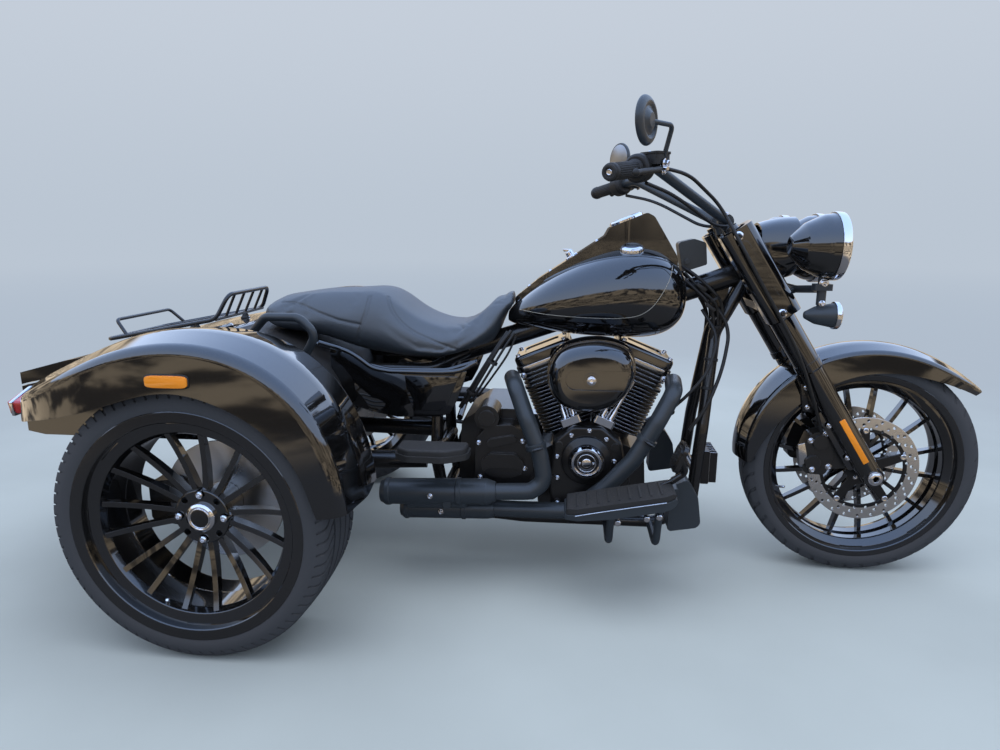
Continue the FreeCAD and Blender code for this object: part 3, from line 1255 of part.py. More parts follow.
# Tube rack on the lid: a bent outer rail with a raised front, floor bars, a rear hoop and four legs
def rack():
    def z(x):
        return 690.0 + (x + 1000.0) * RACK_SLOPE

    front = z(RACK_FRONT_X)
    rear = z(RACK_REAR_X)
    tip_x = RACK_FRONT_X + 34
    outer = [G(RACK_REAR_X, -60, rear), G(RACK_REAR_X, -RACK_HALF, rear), G(RACK_FRONT_X, -RACK_HALF, front),
             G(tip_x, 20 - RACK_HALF, front + 70), G(tip_x, RACK_HALF - 20, front + 70),
             G(RACK_FRONT_X, RACK_HALF, front), G(RACK_REAR_X, RACK_HALF, rear), G(RACK_REAR_X, 60, rear)]
    parts = [tube(outer, RACK_R, [0, 30, 40, 30, 30, 40, 30, 0]),
             rod(G(RACK_REAR_X, -62, rear), G(RACK_REAR_X, 62, rear), RACK_R),
             rod(G(RACK_FRONT_X, -RACK_HALF, front), G(RACK_FRONT_X, RACK_HALF, front), RACK_R - 1)]
    hoop = [G(-1100, -RACK_HALF, z(-1100)), G(-1140, 16 - RACK_HALF, z(-1100) + 44),
            G(-1140, RACK_HALF - 16, z(-1100) + 44), G(-1100, RACK_HALF, z(-1100))]
    parts.append(tube(hoop, RACK_R - 1, [0, 18, 18, 0]))
    for y in (-90, -30, 30, 90):
        parts.append(rod(G(RACK_FRONT_X, y, front), G(tip_x, y, front + 70), RACK_BAR_R))
    for y in (-75, 75):
        parts.append(rod(G(RACK_REAR_X, y, rear), G(RACK_FRONT_X, y, front), RACK_BAR_R))
    for x, lid_top in ((-1065, 653), (-885, 689)):
        for s in (-1, 1):
            y = s * (RACK_HALF - 2)
            parts.append(rod(G(x, y, lid_top), G(x, y, z(x)), RACK_R + 1))
    return parts[0].multiFuse(parts[1:])


keep("luggage_rack", rack().cut(trunk_form(0)).removeSplitter())


def grab_handle():
    y = -322
    return tube([G(-640, y + 20, 716), G(-596, y, 756), G(-500, y - 16, 758), G(-458, y - 16, 716),
                 G(-500, y, 650), G(-560, y + 18, 640)], 11, [0, 30, 40, 30, 20, 0])


keep("grab_handles", grab_handle(), mirror_y(grab_handle()))


def side_cover():
    cover = side_slab([(-285, 590.5), (-127, 590.5), (-132, 576), (-152, 542), (-186, 488), (-255, 486),
                       (-270, 553)], [10, 8, 20, 20, 24, 24, 20], -208, -186)
    return cover.makeFillet(5, [e for e in cover.Edges if abs(e.CenterOfMass.y + 208) < 0.01])


keep("side_covers", side_cover(), mirror_y(side_cover()))


def seat_trim():
    return tube([G(-520, -176, 664), G(-440, -186, 646), G(-385, -190, 612), G(-310, -192, 598),
                 G(-150, -192, 600), G(-70, -170, 622)], 7, [0, 60, 60, 80, 80, 0])


keep("seat_trim", seat_trim(), mirror_y(seat_trim()))

BELT_Y = 150.0
PULLEY_R = 92.0
DRIVE_R = 38.0
DRIVE_X = -60.0
DRIVE_Z = 300.0
BELT_T = 5.0
BELT_W = 28.0


# Rear axle: final drive case, axle tubes, the arms forward to the frame and the brake calipers
def rear_axle():
    case = turned([(-95, 0), (-95, 60), (-60, 92), (-20, 104), (20, 104), (60, 92), (95, 60), (95, 0)],
                  [0, 20, 30, 30, 30, 30, 20, 0], V(REAR_X, 0, REAR_R), AXLE_Y)
    hub_end = REAR_WHEEL_Y + REAR_HUB_BACK
    disc_y = REAR_WHEEL_Y + REAR_DISC_OFFSET
    beam = rod(V(REAR_X, -hub_end + 3, REAR_R), V(REAR_X, hub_end - 3, REAR_R), 38)
    shaft = rod(V(REAR_X, -hub_end - 60, REAR_R), V(REAR_X, hub_end + 60, REAR_R), REAR_AXLE_R)
    pulley = turned([(-BELT_W / 2 - 3, 0), (-BELT_W / 2 - 3, PULLEY_R + 3), (-BELT_W / 2, PULLEY_R + 3),
                     (-BELT_W / 2, PULLEY_R), (BELT_W / 2, PULLEY_R), (BELT_W / 2, PULLEY_R + 3),
                     (BELT_W / 2 + 3, PULLEY_R + 3), (BELT_W / 2 + 3, 0)], 0, V(REAR_X, BELT_Y, REAR_R), AXLE_Y)
    parts = [case, beam, shaft, pulley]
    for s in (-1, 1):
        parts.append(rod(V(REAR_X, s * 196, REAR_R), G(-219, s * 150, 330), 26))
        parts.append(rod(V(REAR_X - 20, s * 300, REAR_R + 10), V(REAR_X - 60, s * 300, TRUNK_FLOOR_Z), 22))
        body = axle_slab(REAR_X, [(-175, REAR_R - 50), (-100, REAR_R - 60), (-96, REAR_R + 60),
                                  (-175, REAR_R + 50)], 14, s * (disc_y - 30), s * (disc_y + 36))
        slot = Part.makeCylinder(REAR_DISC_R + 4, DISC_T + 6, V(REAR_X, s * (disc_y - 3), REAR_R), V(0, s, 0))
        arm = rod(V(REAR_X - 120, s * (disc_y - 34), REAR_R), V(REAR_X, s * (disc_y - 34), REAR_R), 8)
        parts.append(body.cut(slot))
        parts.append(arm)
    return parts[0].multiFuse(parts[1:]).removeSplitter()


# Toothless belt loop from the gearbox to the axle's pulley
def drive_belt():
    a = G(DRIVE_X, BELT_Y, DRIVE_Z)
    b = V(REAR_X, BELT_Y, REAR_R)
    run = b - a
    lean = math.acos((PULLEY_R - DRIVE_R) / run.Length)
    base = math.atan2(run.z, run.x)
    start = V(0, -BELT_W / 2.0, 0)

    def loop(extra):
        def spot(centre, r, angle):
            return centre + start + V(math.cos(angle), 0, math.sin(angle)) * (r + extra)
        up = base + math.pi - lean
        down = base + math.pi + lean
        edges = [Part.Arc(spot(a, DRIVE_R, up), spot(a, DRIVE_R, base + math.pi),
                          spot(a, DRIVE_R, down)).toShape(),
                 Part.LineSegment(spot(a, DRIVE_R, down), spot(b, PULLEY_R, down)).toShape(),
                 Part.Arc(spot(b, PULLEY_R, down), spot(b, PULLEY_R, base), spot(b, PULLEY_R, up)).toShape(),
                 Part.LineSegment(spot(b, PULLEY_R, up), spot(a, DRIVE_R, up)).toShape()]
        return Part.Face(Part.Wire(edges)).extrude(V(0, BELT_W, 0))
    return loop(BELT_T).cut(loop(0.2))


keep("rear_axle", rear_axle())
keep("drive_belt", drive_belt())

# Frame: head tube, backbone, twin cradle and the rails to the rear
TUBE_R = 17.0


def frame():
    head = rod(head_point(HEAD_LOW_Z), head_point(HEAD_HIGH_Z), HEAD_TUBE_R)
    head = head.cut(rod(head_point(HEAD_LOW_Z - 9), head_point(HEAD_HIGH_Z + 9), STEM_R + 0.05))
    spine = tube(backbone, BACKBONE_R, [0, 200, 200, 0])
    spine = spine.cut(rod(head_point(HEAD_LOW_Z - 90), head_point(HEAD_HIGH_Z + 90), HEAD_TUBE_R - 2))
    parts = [head, spine]
    for s in (-1, 1):
        parts.append(tube([G(668, s * 14, 846), G(588, s * 32, 696), G(560, s * 92, 430),
                           G(540, s * 96, 190), G(440, s * 100, 146), G(60, s * 104, 146),
                           G(-170, s * 118, 170), G(-196, s * 130, 330)], TUBE_R,
                          [0, 90, 120, 50, 80, 80, 40, 0]))
        parts.append(tube([G(-150, s * 20, 612), G(-196, s * 90, 520), G(-196, s * 126, 334)], TUBE_R,
                          [0, 60, 0]))
        parts.append(tube([G(-120, s * 20, 622), G(-210, s * 120, 590), G(-500, s * 150, 590),
                           G(TRUNK_FRONT_X + 1, s * 150, 600)], TUBE_R - 2, [0, 60, 100, 0]))
    parts.append(rod(G(-180, -120, 200), G(-180, 120, 200), TUBE_R))
    parts.append(rod(G(-196, -130, 330), G(-196, 130, 330), TUBE_R + 4))
    # gusset under the head and the engine's front and top mounts
    parts.append(side_slab([(628, 838), (560, 820), (596, 728), (610, 728)], 0, -7, 7))
    parts.append(rod(G(548, -96, 300), G(548, 96, 300), 12))
    return parts[0].multiFuse(parts[1:]).removeSplitter()


frame_solid = frame()
keep("frame", frame_solid)


# Rider's footboards: a pan on two brackets with a toe panel in front, and a rubber pad on the pan
BOARD_IN = 268.0
BOARD_OUT = 392.0
PAD_INSET = 5.0


def board_plan(s, inset):
    near = s * (BOARD_IN + inset)
    far = s * (BOARD_OUT - inset)
    return plan_slab([(170 + inset, near), (170 + inset, s * 372), (210, far), (430, far),
                      (470 - inset, s * 360), (470 - inset, near)], [0, 30, 30, 40, 30, 0], 200, 400)


def rider_board(s):
    pan = side_slab([(178, 262), (179, 274), (452, 327), (462, 322), (452, 306), (300, 274)],
                    [5, 4, 4, 6, 20, 20], s * BOARD_IN, s * BOARD_OUT).common(board_plan(s, 0))
    toe = side_slab([(452, 190), (540, 206), (528, 290), (498, 338), (466, 322), (456, 300)],
                    [10, 20, 20, 10, 4, 0], s * 200, s * 262)
    parts = [toe]
    for x, z in ((300, 272), (425, 304)):
        parts.append(tube([G(x, s * 117, 146), G(x, s * 262, 150), G(x + 2, s * 300, z)], 10, [0, 40, 0]))
    parts.append(side_slab([(440, 285), (470, 300), (470, 326), (440, 322)], 4, s * 240, s * 300))
    return pan.multiFuse(parts).removeSplitter()


# Rubber pad with ribs across it
def rider_pad(s):
    pad = side_slab([(183, 275.2), (185, 290), (446, 341), (456, 336), (452, 327.5)], [0, 5, 6, 4, 0],
                    s * BOARD_IN, s * BOARD_OUT).common(board_plan(s, PAD_INSET))
    slope = (341.0 - 290.0) / (446.0 - 185.0)
    ribs = []
    for i in range(9):
        x = 212.0 + 26.0 * i
        z = 290.0 + (x - 185.0) * slope
        ribs.append(rod(G(x, s * (BOARD_IN + 20), z - 2), G(x, s * (BOARD_OUT - 24), z - 2), 4))
    return pad.multiFuse(ribs).removeSplitter()


keep("rider_boards", rider_board(-1), rider_board(1))
keep("board_pads", rider_pad(-1), rider_pad(1))

BOARD_HINGE_Y = 262.0
BOARD_HINGE_Z = 404.0
PASSENGER_X = -168.0


def passenger_board(s):
    def plan(inset, z0, z1):
        x = PASSENGER_X
        near = s * (272 + inset)
        return plan_slab([(x - 96 + inset, near), (x - 96 + inset, s * 340), (x - 60, s * (366 - inset)),
                          (x + 40, s * (366 - inset)), (x + 96 - inset, s * 330), (x + 96 - inset, near)],
                         [10, 24, 30, 50, 30, 10], z0, z1)
    pan = plan(0, 393, 409)
    pad = plan(5, 408, 426)
    pad = pad.makeFillet(7, [e for e in pad.Edges if abs(e.CenterOfMass.z - 426) < 0.01])
    ears = [rod(G(PASSENGER_X + k, s * BOARD_HINGE_Y, BOARD_HINGE_Z),
                G(PASSENGER_X + k + 16, s * BOARD_HINGE_Y, BOARD_HINGE_Z), 9) for k in (-44, 28)]
    links = [Part.makeBox(16, 16, 12, G(PASSENGER_X + k, s * 268 - 8, BOARD_HINGE_Z - 6)) for k in (-44, 28)]
    pin_hole = rod(G(PASSENGER_X - 60, s * BOARD_HINGE_Y, BOARD_HINGE_Z),
                   G(PASSENGER_X + 60, s * BOARD_HINGE_Y, BOARD_HINGE_Z), 4.05)
    return pan.multiFuse([pad] + ears + links).cut(pin_hole).removeSplitter()


def board_mount(s):
    pin = rod(G(PASSENGER_X - 46, s * BOARD_HINGE_Y, BOARD_HINGE_Z),
              G(PASSENGER_X + 46, s * BOARD_HINGE_Y, BOARD_HINGE_Z), 4.0)
    block = rod(G(PASSENGER_X - 26, s * BOARD_HINGE_Y, BOARD_HINGE_Z),
                G(PASSENGER_X + 26, s * BOARD_HINGE_Y, BOARD_HINGE_Z), 9)
    arm = rod(G(PASSENGER_X, s * 124, 378), G(PASSENGER_X, s * BOARD_HINGE_Y, BOARD_HINGE_Z), 10)
    return pin.multiFuse([block, arm]).cut(frame_solid).removeSplitter()


keep("passenger_board_right", passenger_board(-1))
keep("passenger_board_left", passenger_board(1))
keep("board_mounts", board_mount(-1), board_mount(1))


# Brake pedal with a raised rubber pad on the right, and the shift lever's peg on the left
def foot_controls():
    def plate(length, width, corner, low, height):
        corners = [V(-length, -width, low), V(length, -width, low), V(length, width, low), V(-length, width, low)]
        piece = slab(corners, corner, V(0, 0, height))
        piece.rotate(V(0, 0, 0), V(0, 1, 0), -68)
        piece.translate(G(462, -318, 420))
        return piece
    arm = tube([G(446, -290, 337), G(486, -300, 372), G(468, -316, 416)], 8, [0, 20, 0])
    link = rod(G(452, -300, 348), G(416, -296, 330), 4)
    brake = plate(36, 38, 14, -7, 11).multiFuse([plate(25, 28, 9, 4, 4), arm, link]).removeSplitter()
    shift = tube([G(446, 290, 337), G(500, 300, 366), G(530, 306, 372)], 8, [0, 20, 0])
    peg = rod(G(532, 296, 372), G(532, 352, 372), 12)
    return brake, shift.fuse(peg).removeSplitter()


keep("foot_controls", *foot_controls())


def plate_bracket():
    arm = side_slab([(-1296, 440), (-1240, 470), (-1150, 448.3), (-1150, 430), (-1290, 420)],
                    [6, 10, 0, 6, 6], -70, 70)
    plate = front_slab([(-95, 300), (95, 300), (95, 440), (-95, 440)], 10, -1300, -1292)
    return arm.fuse(plate).removeSplitter().cut(trunk_form(0))


# Cover box behind the steering head, over the backbone
def neck_box():
    box = side_slab([(490, 862), (556, 884), (550, 944), (518, 954), (474, 944)], [6, 6, 10, 12, 10], -28, 28)
    lug = rod(G(500, -26, 892), G(500, -35, 892), 7)
    return box.fuse(lug)


FIN_ROWS = 7


# Finned voltage regulator in front of the frame's down tubes
def regulator():
    body = side_slab([(572, 250), (596, 250), (596, 350), (572, 350)], 4, -54, 54)
    fins = [side_slab([(594, 254), (618, 254), (618, 346), (594, 346)], 3, y - 2, y + 2)
            for y in [-48 + 16 * i for i in range(FIN_ROWS)]]
    lugs = [rod(G(556, s * 36, 300), G(574, s * 36, 300), 8) for s in (-1, 1)]
    return body.multiFuse(fins + lugs).removeSplitter()


# Domed horn cover in the V of the cylinders, on the left
def horn_cover():
    dish = turned([(0, 0), (0, 52), (10, 58), (24, 52), (34, 30), (36, 0)], [0, 2, 8, 14, 20, 0],
                  G(CRANK_X, 118, 560), AXLE_Y)
    arm = rod(G(CRANK_X, 20, 640), G(CRANK_X, 122, 580), 9)
    return dish.fuse(arm).removeSplitter()


# Brake hose and bar looms, all held by the steering
def control_lines():
    a, b, along = grip_frame(-1)
    right = b - along * 150
    hose = cable("brake hose", [right + V(46, 10, 2), right + V(120, 60, -10), G(560, -128, 1040),
                                G(606, -166, 950), G(660, -168, 858), G(780, -166, 664), G(852, -128, 500),
                                G(880, -102, 432)], 4.5)
    looms = []
    for s in (-1, 1):
        start = V(right.x, -s * right.y, right.z)
        looms.append(cable("bar loom", [start + V(14, -s * 6, -34), G(430, s * 196, 1064), G(560, s * 92, 986),
                                        G(632, s * 60, 990), G(700, s * 50, 960)], 4.5))
    return [hose] + looms


# Wiring and fluid lines down the right down tube
def frame_lines():
    upper = cable("frame line", [G(560, -46, 800), G(624, -62, 716), G(604, -92, 600), G(566, -112, 500),
                                 G(520, -118, 430)], 5.0)
    lower = cable("engine line", [G(548, -40, 760), G(590, -84, 690), G(560, -112, 590), G(500, -118, 520),
                                  G(448, -112, 470)], 4.5)
    return [upper, lower]


keep("neck_box", neck_box())
keep("regulator", regulator())
keep("horn_cover", horn_cover())
keep("control_lines", *control_lines())
keep("frame_lines", *frame_lines())
keep("plate_bracket", plate_bracket())

trim("front_valance", "frame", "seat")
trim("rear_axle", "frame", "front_valance", "trunk_body")
trim("seat", "frame")
trim("fork_covers", "fork")
trim("lamp_bar", "fork", "lamps", "fork_covers")
trim("hand_controls", "handlebar")
trim("mirrors", "hand_controls")
trim("front_axle", "fork")
trim("grab_handles", "front_valance")
trim("pushrods", "cam_cover", "crankcase")
trim("front_calipers", "fork")
trim("neck_box", "frame", "fuel_tank", "tank_console")
trim("regulator", "frame", "crankcase")
trim("horn_cover", "frame", "fuel_tank", "cylinder_front", "cylinder_rear", "rocker_covers")
trim("drive_belt", "rear_axle", "gearbox", "primary_cover", "frame")
trim("rider_boards", "frame")
trim("board_pads", "rider_boards")
trim("foot_controls", "rider_boards", "board_pads")
trim("control_lines", "handlebar", "hand_controls", "fork", "fork_covers", "front_calipers", "lamps")
trim("frame_lines", "frame", "cylinder_front", "cylinder_rear", "rocker_covers", "crankcase", "cam_cover",
     "fuel_tank", "pushrods", "exhaust_front")

for name, shape in model.items():
    shape.exportStep("parts/" + name + ".step")
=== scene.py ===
import json
import math

import bmesh
import bpy
from mathutils import Matrix, Vector
from mathutils.bvhtree import BVHTree
from mathutils.kdtree import KDTree


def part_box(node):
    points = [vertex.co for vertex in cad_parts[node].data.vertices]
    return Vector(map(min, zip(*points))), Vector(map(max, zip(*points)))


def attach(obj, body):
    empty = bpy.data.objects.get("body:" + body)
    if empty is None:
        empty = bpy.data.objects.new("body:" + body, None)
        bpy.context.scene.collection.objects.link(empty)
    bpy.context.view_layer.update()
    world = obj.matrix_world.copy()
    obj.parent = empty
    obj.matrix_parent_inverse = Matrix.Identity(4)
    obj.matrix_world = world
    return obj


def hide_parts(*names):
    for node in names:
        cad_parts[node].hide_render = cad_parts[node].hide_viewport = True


bl_info = {
    "name": "Three-wheeled motorcycle",
    "version": (1, 0, 0),
    "blender": (4, 5, 0),
    "location": "View3D > Sidebar > Trike",
    "description": "Finishes, tyres, lamps, seat and trim for a three-wheeled motorcycle, with its stage",
    "category": "Object",
}

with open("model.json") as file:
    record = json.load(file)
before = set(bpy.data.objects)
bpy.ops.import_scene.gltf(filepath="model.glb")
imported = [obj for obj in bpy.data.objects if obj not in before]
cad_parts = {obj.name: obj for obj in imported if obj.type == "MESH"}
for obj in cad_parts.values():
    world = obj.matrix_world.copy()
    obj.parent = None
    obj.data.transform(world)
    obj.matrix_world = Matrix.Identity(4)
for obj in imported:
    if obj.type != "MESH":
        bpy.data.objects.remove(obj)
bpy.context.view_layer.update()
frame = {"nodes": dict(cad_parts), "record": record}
NODES = frame["nodes"]
MM = 0.001
SIDES = (("right", -1), ("left", 1))
FORWARD = Vector((1, 0, 0))
LEFT = Vector((0, 1, 0))
RIGHT = Vector((0, -1, 0))
UPWARD = Vector((0, 0, 1))


# Sizes and colours that a user may change


COLOUR = {"subtype": "COLOR", "size": 3, "min": 0, "max": 1}


class PaintSettings(bpy.types.PropertyGroup):
    """Colours and gloss of the painted and plated metal"""

    gloss_colour: bpy.props.FloatVectorProperty(
        name="Gloss black", description="Body paint", default=(0.0035, 0.0036, 0.0042), **COLOUR)
    # Satin black with a bluish tint: the coat's own black plus a painted sky sheen
    satin_and_sheen_colour: bpy.props.FloatVectorProperty(
        name="Satin black", description="Heat-proof coat of the exhaust and covers",
        default=(0.027, 0.035, 0.046), **COLOUR)
    frame_colour: bpy.props.FloatVectorProperty(
        name="Frame black", description="Paint of the frame and axle", default=(0.008, 0.008, 0.009),
        **COLOUR)
    steel_colour: bpy.props.FloatVectorProperty(
        name="Brake steel", description="Ground face of the brake discs", default=(0.74, 0.73, 0.71),
        **COLOUR)
    dust_colour: bpy.props.FloatVectorProperty(
        name="Dust", description="Fine dust that settles on upward faces", default=(0.11, 0.10, 0.09),
        **COLOUR)
    edge_radius: bpy.props.FloatProperty(
        name="Edge radius", description="Rounding that the light sees on machined edges", default=0.0022,
        min=0, unit="LENGTH")


class TyreSettings(bpy.types.PropertyGroup):
    """Tread and sidewall of the tyres"""

    rubber_colour: bpy.props.FloatVectorProperty(
        name="Rubber", description="Colour of the tyres", default=(0.052, 0.055, 0.065), **COLOUR)
    groove_depth: bpy.props.FloatProperty(
        name="Groove depth", description="Depth of the grooves in the tread", default=0.006, min=0,
        unit="LENGTH")
    rear_pitches: bpy.props.IntProperty(
        name="Rear pitches", description="Cross grooves round a rear tyre", default=72, min=12)
    front_pitches: bpy.props.IntProperty(
        name="Front pitches", description="Cross grooves round the front tyre", default=40, min=12)


class SeatSettings(bpy.types.PropertyGroup):
    """Padding of the seat"""

    voxel: bpy.props.FloatProperty(
        name="Mesh size", description="Size of the remeshed faces", default=0.0075, min=0.004, unit="LENGTH")
    shrink: bpy.props.FloatProperty(
        name="Start inset", description="How far the pad starts inside its cover", default=0.004, min=0,
        unit="LENGTH")
    swell: bpy.props.FloatProperty(
        name="Most swell", description="Cap on how far a point of the pad may move", default=0.010, min=0,
        unit="LENGTH")


class StageSettings(bpy.types.PropertyGroup):
    """Camera, lamps and floor"""

    camera_place: bpy.props.FloatVectorProperty(
        name="Camera place", description="Where the camera stands", subtype="TRANSLATION", size=3,
        default=(0.180, -1.974, 0.977))
    yaw: bpy.props.FloatProperty(
        name="Yaw", description="Turn of the camera from +Y towards +X", subtype="ANGLE",
        default=math.radians(-5.90))
    pitch: bpy.props.FloatProperty(
        name="Pitch", description="Downward tilt of the camera", subtype="ANGLE", default=math.radians(12.16))
    roll: bpy.props.FloatProperty(
        name="Roll", description="Roll of the camera", subtype="ANGLE", default=math.radians(0.21))
    lens: bpy.props.FloatProperty(
        name="Lens", description="Focal length on a 36 mm wide sensor, in millimetres", default=24.30, min=1)
    floor_colour: bpy.props.FloatVectorProperty(
        name="Floor", description="Colour of the floor", default=(0.395, 0.455, 0.49), **COLOUR)
    sky_colour: bpy.props.FloatVectorProperty(
        name="Backdrop top", description="Colour high behind the object", default=(0.565, 0.624, 0.708),
        **COLOUR)
    middle_colour: bpy.props.FloatVectorProperty(
        name="Backdrop middle", description="Colour at the level of the eye", default=(0.495, 0.563, 0.650),
        **COLOUR)
    horizon_colour: bpy.props.FloatVectorProperty(
        name="Backdrop foot", description="Colour that the far floor takes", default=(0.435, 0.508, 0.605),
        **COLOUR)
    dome_colour: bpy.props.FloatVectorProperty(
        name="Dome", description="Light that matt surfaces get from all round", default=(0.80, 0.85, 0.93),
        **COLOUR)
    mirrored_top: bpy.props.FloatVectorProperty(
        name="Sky overhead in gloss", description="What polished surfaces mirror from above",
        default=(0.32, 0.47, 0.80), **COLOUR)
    mirrored_sky: bpy.props.FloatVectorProperty(
        name="Low sky in gloss", description="What polished surfaces mirror above the band",
        default=(0.46, 0.57, 0.78), **COLOUR)
    mirrored_band: bpy.props.FloatVectorProperty(
        name="Warm band in gloss", description="What polished surfaces mirror at the horizon",
        default=(0.38, 0.31, 0.225), **COLOUR)
    mirrored_foot: bpy.props.FloatVectorProperty(
        name="Foot in gloss", description="What polished surfaces mirror below the band",
        default=(0.045, 0.04, 0.036), **COLOUR)
    mirrored_floor: bpy.props.FloatVectorProperty(
        name="Floor in gloss", description="Floor as polished surfaces mirror it",
        default=(0.10, 0.10, 0.105), **COLOUR)
    gloss_level: bpy.props.FloatProperty(
        name="Gloss level", description="How much brighter the mirrored sky is than its colours", default=2.2,
        min=1)
    key_power: bpy.props.FloatProperty(
        name="Key power", description="Power of the large lamp overhead, in watts", default=70.0, min=0)


SETTINGS = (("trike_paint", PaintSettings), ("trike_tyre", TyreSettings), ("trike_seat", SeatSettings),
            ("trike_stage", StageSettings))


# Shader nodes and groups


def feed(tree, socket, value):
    """Links an output to an input socket, or sets the socket to a plain value."""
    if isinstance(value, bpy.types.NodeSocket):
        tree.links.new(value, socket)
    else:
        socket.default_value = value


def own_place(tree):
    """The socket of a piece's own coordinates."""
    return tree.nodes.new("ShaderNodeTexCoord").outputs["Object"]


def add_math(tree, operation, *values, clamp=False):
    """A Math node fed with sockets or plain numbers; gives its output socket."""
    node = tree.nodes.new("ShaderNodeMath")
    node.operation = operation
    node.use_clamp = clamp
    for socket, value in zip(node.inputs, values):
        feed(tree, socket, value)
    return node.outputs[0]


def add_vector(tree, operation, *values, output="Vector"):
    """A Vector Math node fed with sockets or plain vectors; gives one of its output sockets."""
    node = tree.nodes.new("ShaderNodeVectorMath")
    node.operation = operation
    for socket, value in zip(node.inputs, values):
        feed(tree, socket, value)
    return node.outputs[output]


def add_noise(tree, scale, detail=3.0, place=None):
    """A Noise Texture, on the piece's own coordinates unless told otherwise; gives its value's socket."""
    node = tree.nodes.new("ShaderNodeTexNoise")
    node.inputs["Detail"].default_value = detail
    feed(tree, node.inputs["Vector"], own_place(tree) if place is None else place)
    feed(tree, node.inputs["Scale"], scale)
    return node.outputs["Fac"]


def add_mix(tree, factor, first, second):
    """A colour Mix node; gives its output socket."""
    node = tree.nodes.new("ShaderNodeMix")
    node.data_type = "RGBA"
    for index, value in ((0, factor), (6, first), (7, second)):
        feed(tree, node.inputs[index], value)
    return node.outputs[2]


def add_ramp(tree, value, low, high):
    """A smooth step of a value between two limits; gives its output socket."""
    node = tree.nodes.new("ShaderNodeMapRange")
    node.interpolation_type = "SMOOTHSTEP"
    for label, entry in (("Value", value), ("From Min", low), ("From Max", high)):
        feed(tree, node.inputs[label], entry)
    return node.outputs["Result"]


def group_tree(name, inputs, outputs):
    """A new shader node group, from the inputs' names and defaults and the outputs' names and kinds."""
    tree = bpy.data.node_groups.new(name, "ShaderNodeTree")
    for label, default in inputs.items():
        kind = "NodeSocketColor" if isinstance(default, tuple) else "NodeSocketFloat"
        tree.interface.new_socket(name=label, in_out="INPUT", socket_type=kind).default_value = default
    for label, kind in outputs.items():
        tree.interface.new_socket(name=label, in_out="OUTPUT", socket_type=kind)
    return tree, tree.nodes.new("NodeGroupInput").outputs, tree.nodes.new("NodeGroupOutput").inputs


def rounded_edge_group():
    """Normal of softly rounded edges, and a mask of where those edges are."""
    tree, given, result = group_tree("rounded_edge", {"Radius": 0.002},
                                     {"Normal": "NodeSocketVector", "Edge": "NodeSocketFloat"})
    bevel = tree.nodes.new("ShaderNodeBevel")
    bevel.samples = 4
    feed(tree, bevel.inputs["Radius"], given["Radius"])
    flat = tree.nodes.new("ShaderNodeNewGeometry").outputs["True Normal"]
    facing = add_vector(tree, "DOT_PRODUCT", bevel.outputs["Normal"], flat, output="Value")
    feed(tree, result["Normal"], bevel.outputs["Normal"])
    feed(tree, result["Edge"], add_ramp(tree, add_math(tree, "SUBTRACT", 1.0, facing), 0.02, 0.22))
    return tree


def weathered_group():
    """Base colour with worn edges, slow mottling and dust on upward faces."""
    tree, given, result = group_tree(
        "weathered", {"Color": (0.1, 0.1, 0.1, 1), "Bare": (0.3, 0.3, 0.3, 1), "Dust": (0.1, 0.1, 0.1, 1),
                      "Edge": 0.0, "Wear": 0.2, "Dustiness": 0.1}, {"Color": "NodeSocketColor"})
    patches = add_ramp(tree, add_noise(tree, 38.0, 5.0), 0.42, 0.66)
    edges = add_math(tree, "MULTIPLY", given["Edge"], patches)
    worn = add_math(tree, "MULTIPLY", edges, given["Wear"], clamp=True)
    colour = add_mix(tree, worn, given["Color"], given["Bare"])
    up = tree.nodes.new("ShaderNodeSeparateXYZ")
    feed(tree, up.inputs[0], tree.nodes.new("ShaderNodeNewGeometry").outputs["Normal"])
    settled = add_ramp(tree, up.outputs["Z"], 0.1, 1.0)
    specks = add_ramp(tree, add_noise(tree, 420.0, 2.0), 0.48, 0.72)
    drift = add_math(tree, "MULTIPLY", add_noise(tree, 6.0, 3.0), given["Dustiness"])
    amount = add_math(tree, "MULTIPLY", add_math(tree, "MULTIPLY", settled, specks), drift, clamp=True)
    feed(tree, result["Color"], add_mix(tree, amount, colour, given["Dust"]))
    return tree


def smudge_group():
    """Roughness that wanders about its middle value, as handled surfaces do."""
    tree, given, result = group_tree("smudges", {"Middle": 0.3, "Spread": 0.1, "Scale": 12.0},
                                     {"Roughness": "NodeSocketFloat"})
    cloud = add_math(tree, "SUBTRACT", add_noise(tree, given["Scale"], 4.0), 0.5)
    moved = add_math(tree, "MULTIPLY", cloud, given["Spread"])
    feed(tree, result["Roughness"], add_math(tree, "ADD", moved, given["Middle"], clamp=True))
    return tree


def grain_group():
    """Height of a fine cast, moulded or orange-peel surface."""
    tree, given, result = group_tree("grain", {"Scale": 300.0}, {"Height": "NodeSocketFloat"})
    feed(tree, result["Height"], add_noise(tree, given["Scale"], 2.0))
    return tree


def leather_group():
    """Height of pebbled vinyl: small cells with soft valleys between them."""
    tree, given, result = group_tree("pebbles", {"Scale": 500.0}, {"Height": "NodeSocketFloat"})
    cells = tree.nodes.new("ShaderNodeTexVoronoi")
    cells.feature = "SMOOTH_F1"
    feed(tree, cells.inputs["Vector"], own_place(tree))
    feed(tree, cells.inputs["Scale"], given["Scale"])
    feed(tree, result["Height"], add_math(tree, "SUBTRACT", 1.0, cells.outputs["Distance"]))
    return tree


GROUPS = {}
GROUP_MAKERS = {"rounded_edge": rounded_edge_group, "weathered": weathered_group, "smudges": smudge_group,
                "grain": grain_group, "pebbles": leather_group}


def place_group(tree, name, **values):
    """Places a shared group in a material and sets or links its inputs."""
    if name not in GROUPS:
        GROUPS[name] = GROUP_MAKERS[name]()
    node = tree.nodes.new("ShaderNodeGroup")
    node.node_tree = GROUPS[name]
    for label, value in values.items():
        feed(tree, node.inputs[label], value)
    return node.outputs


def rgba(colour):
    return (colour[0], colour[1], colour[2], 1.0)


# Finishes


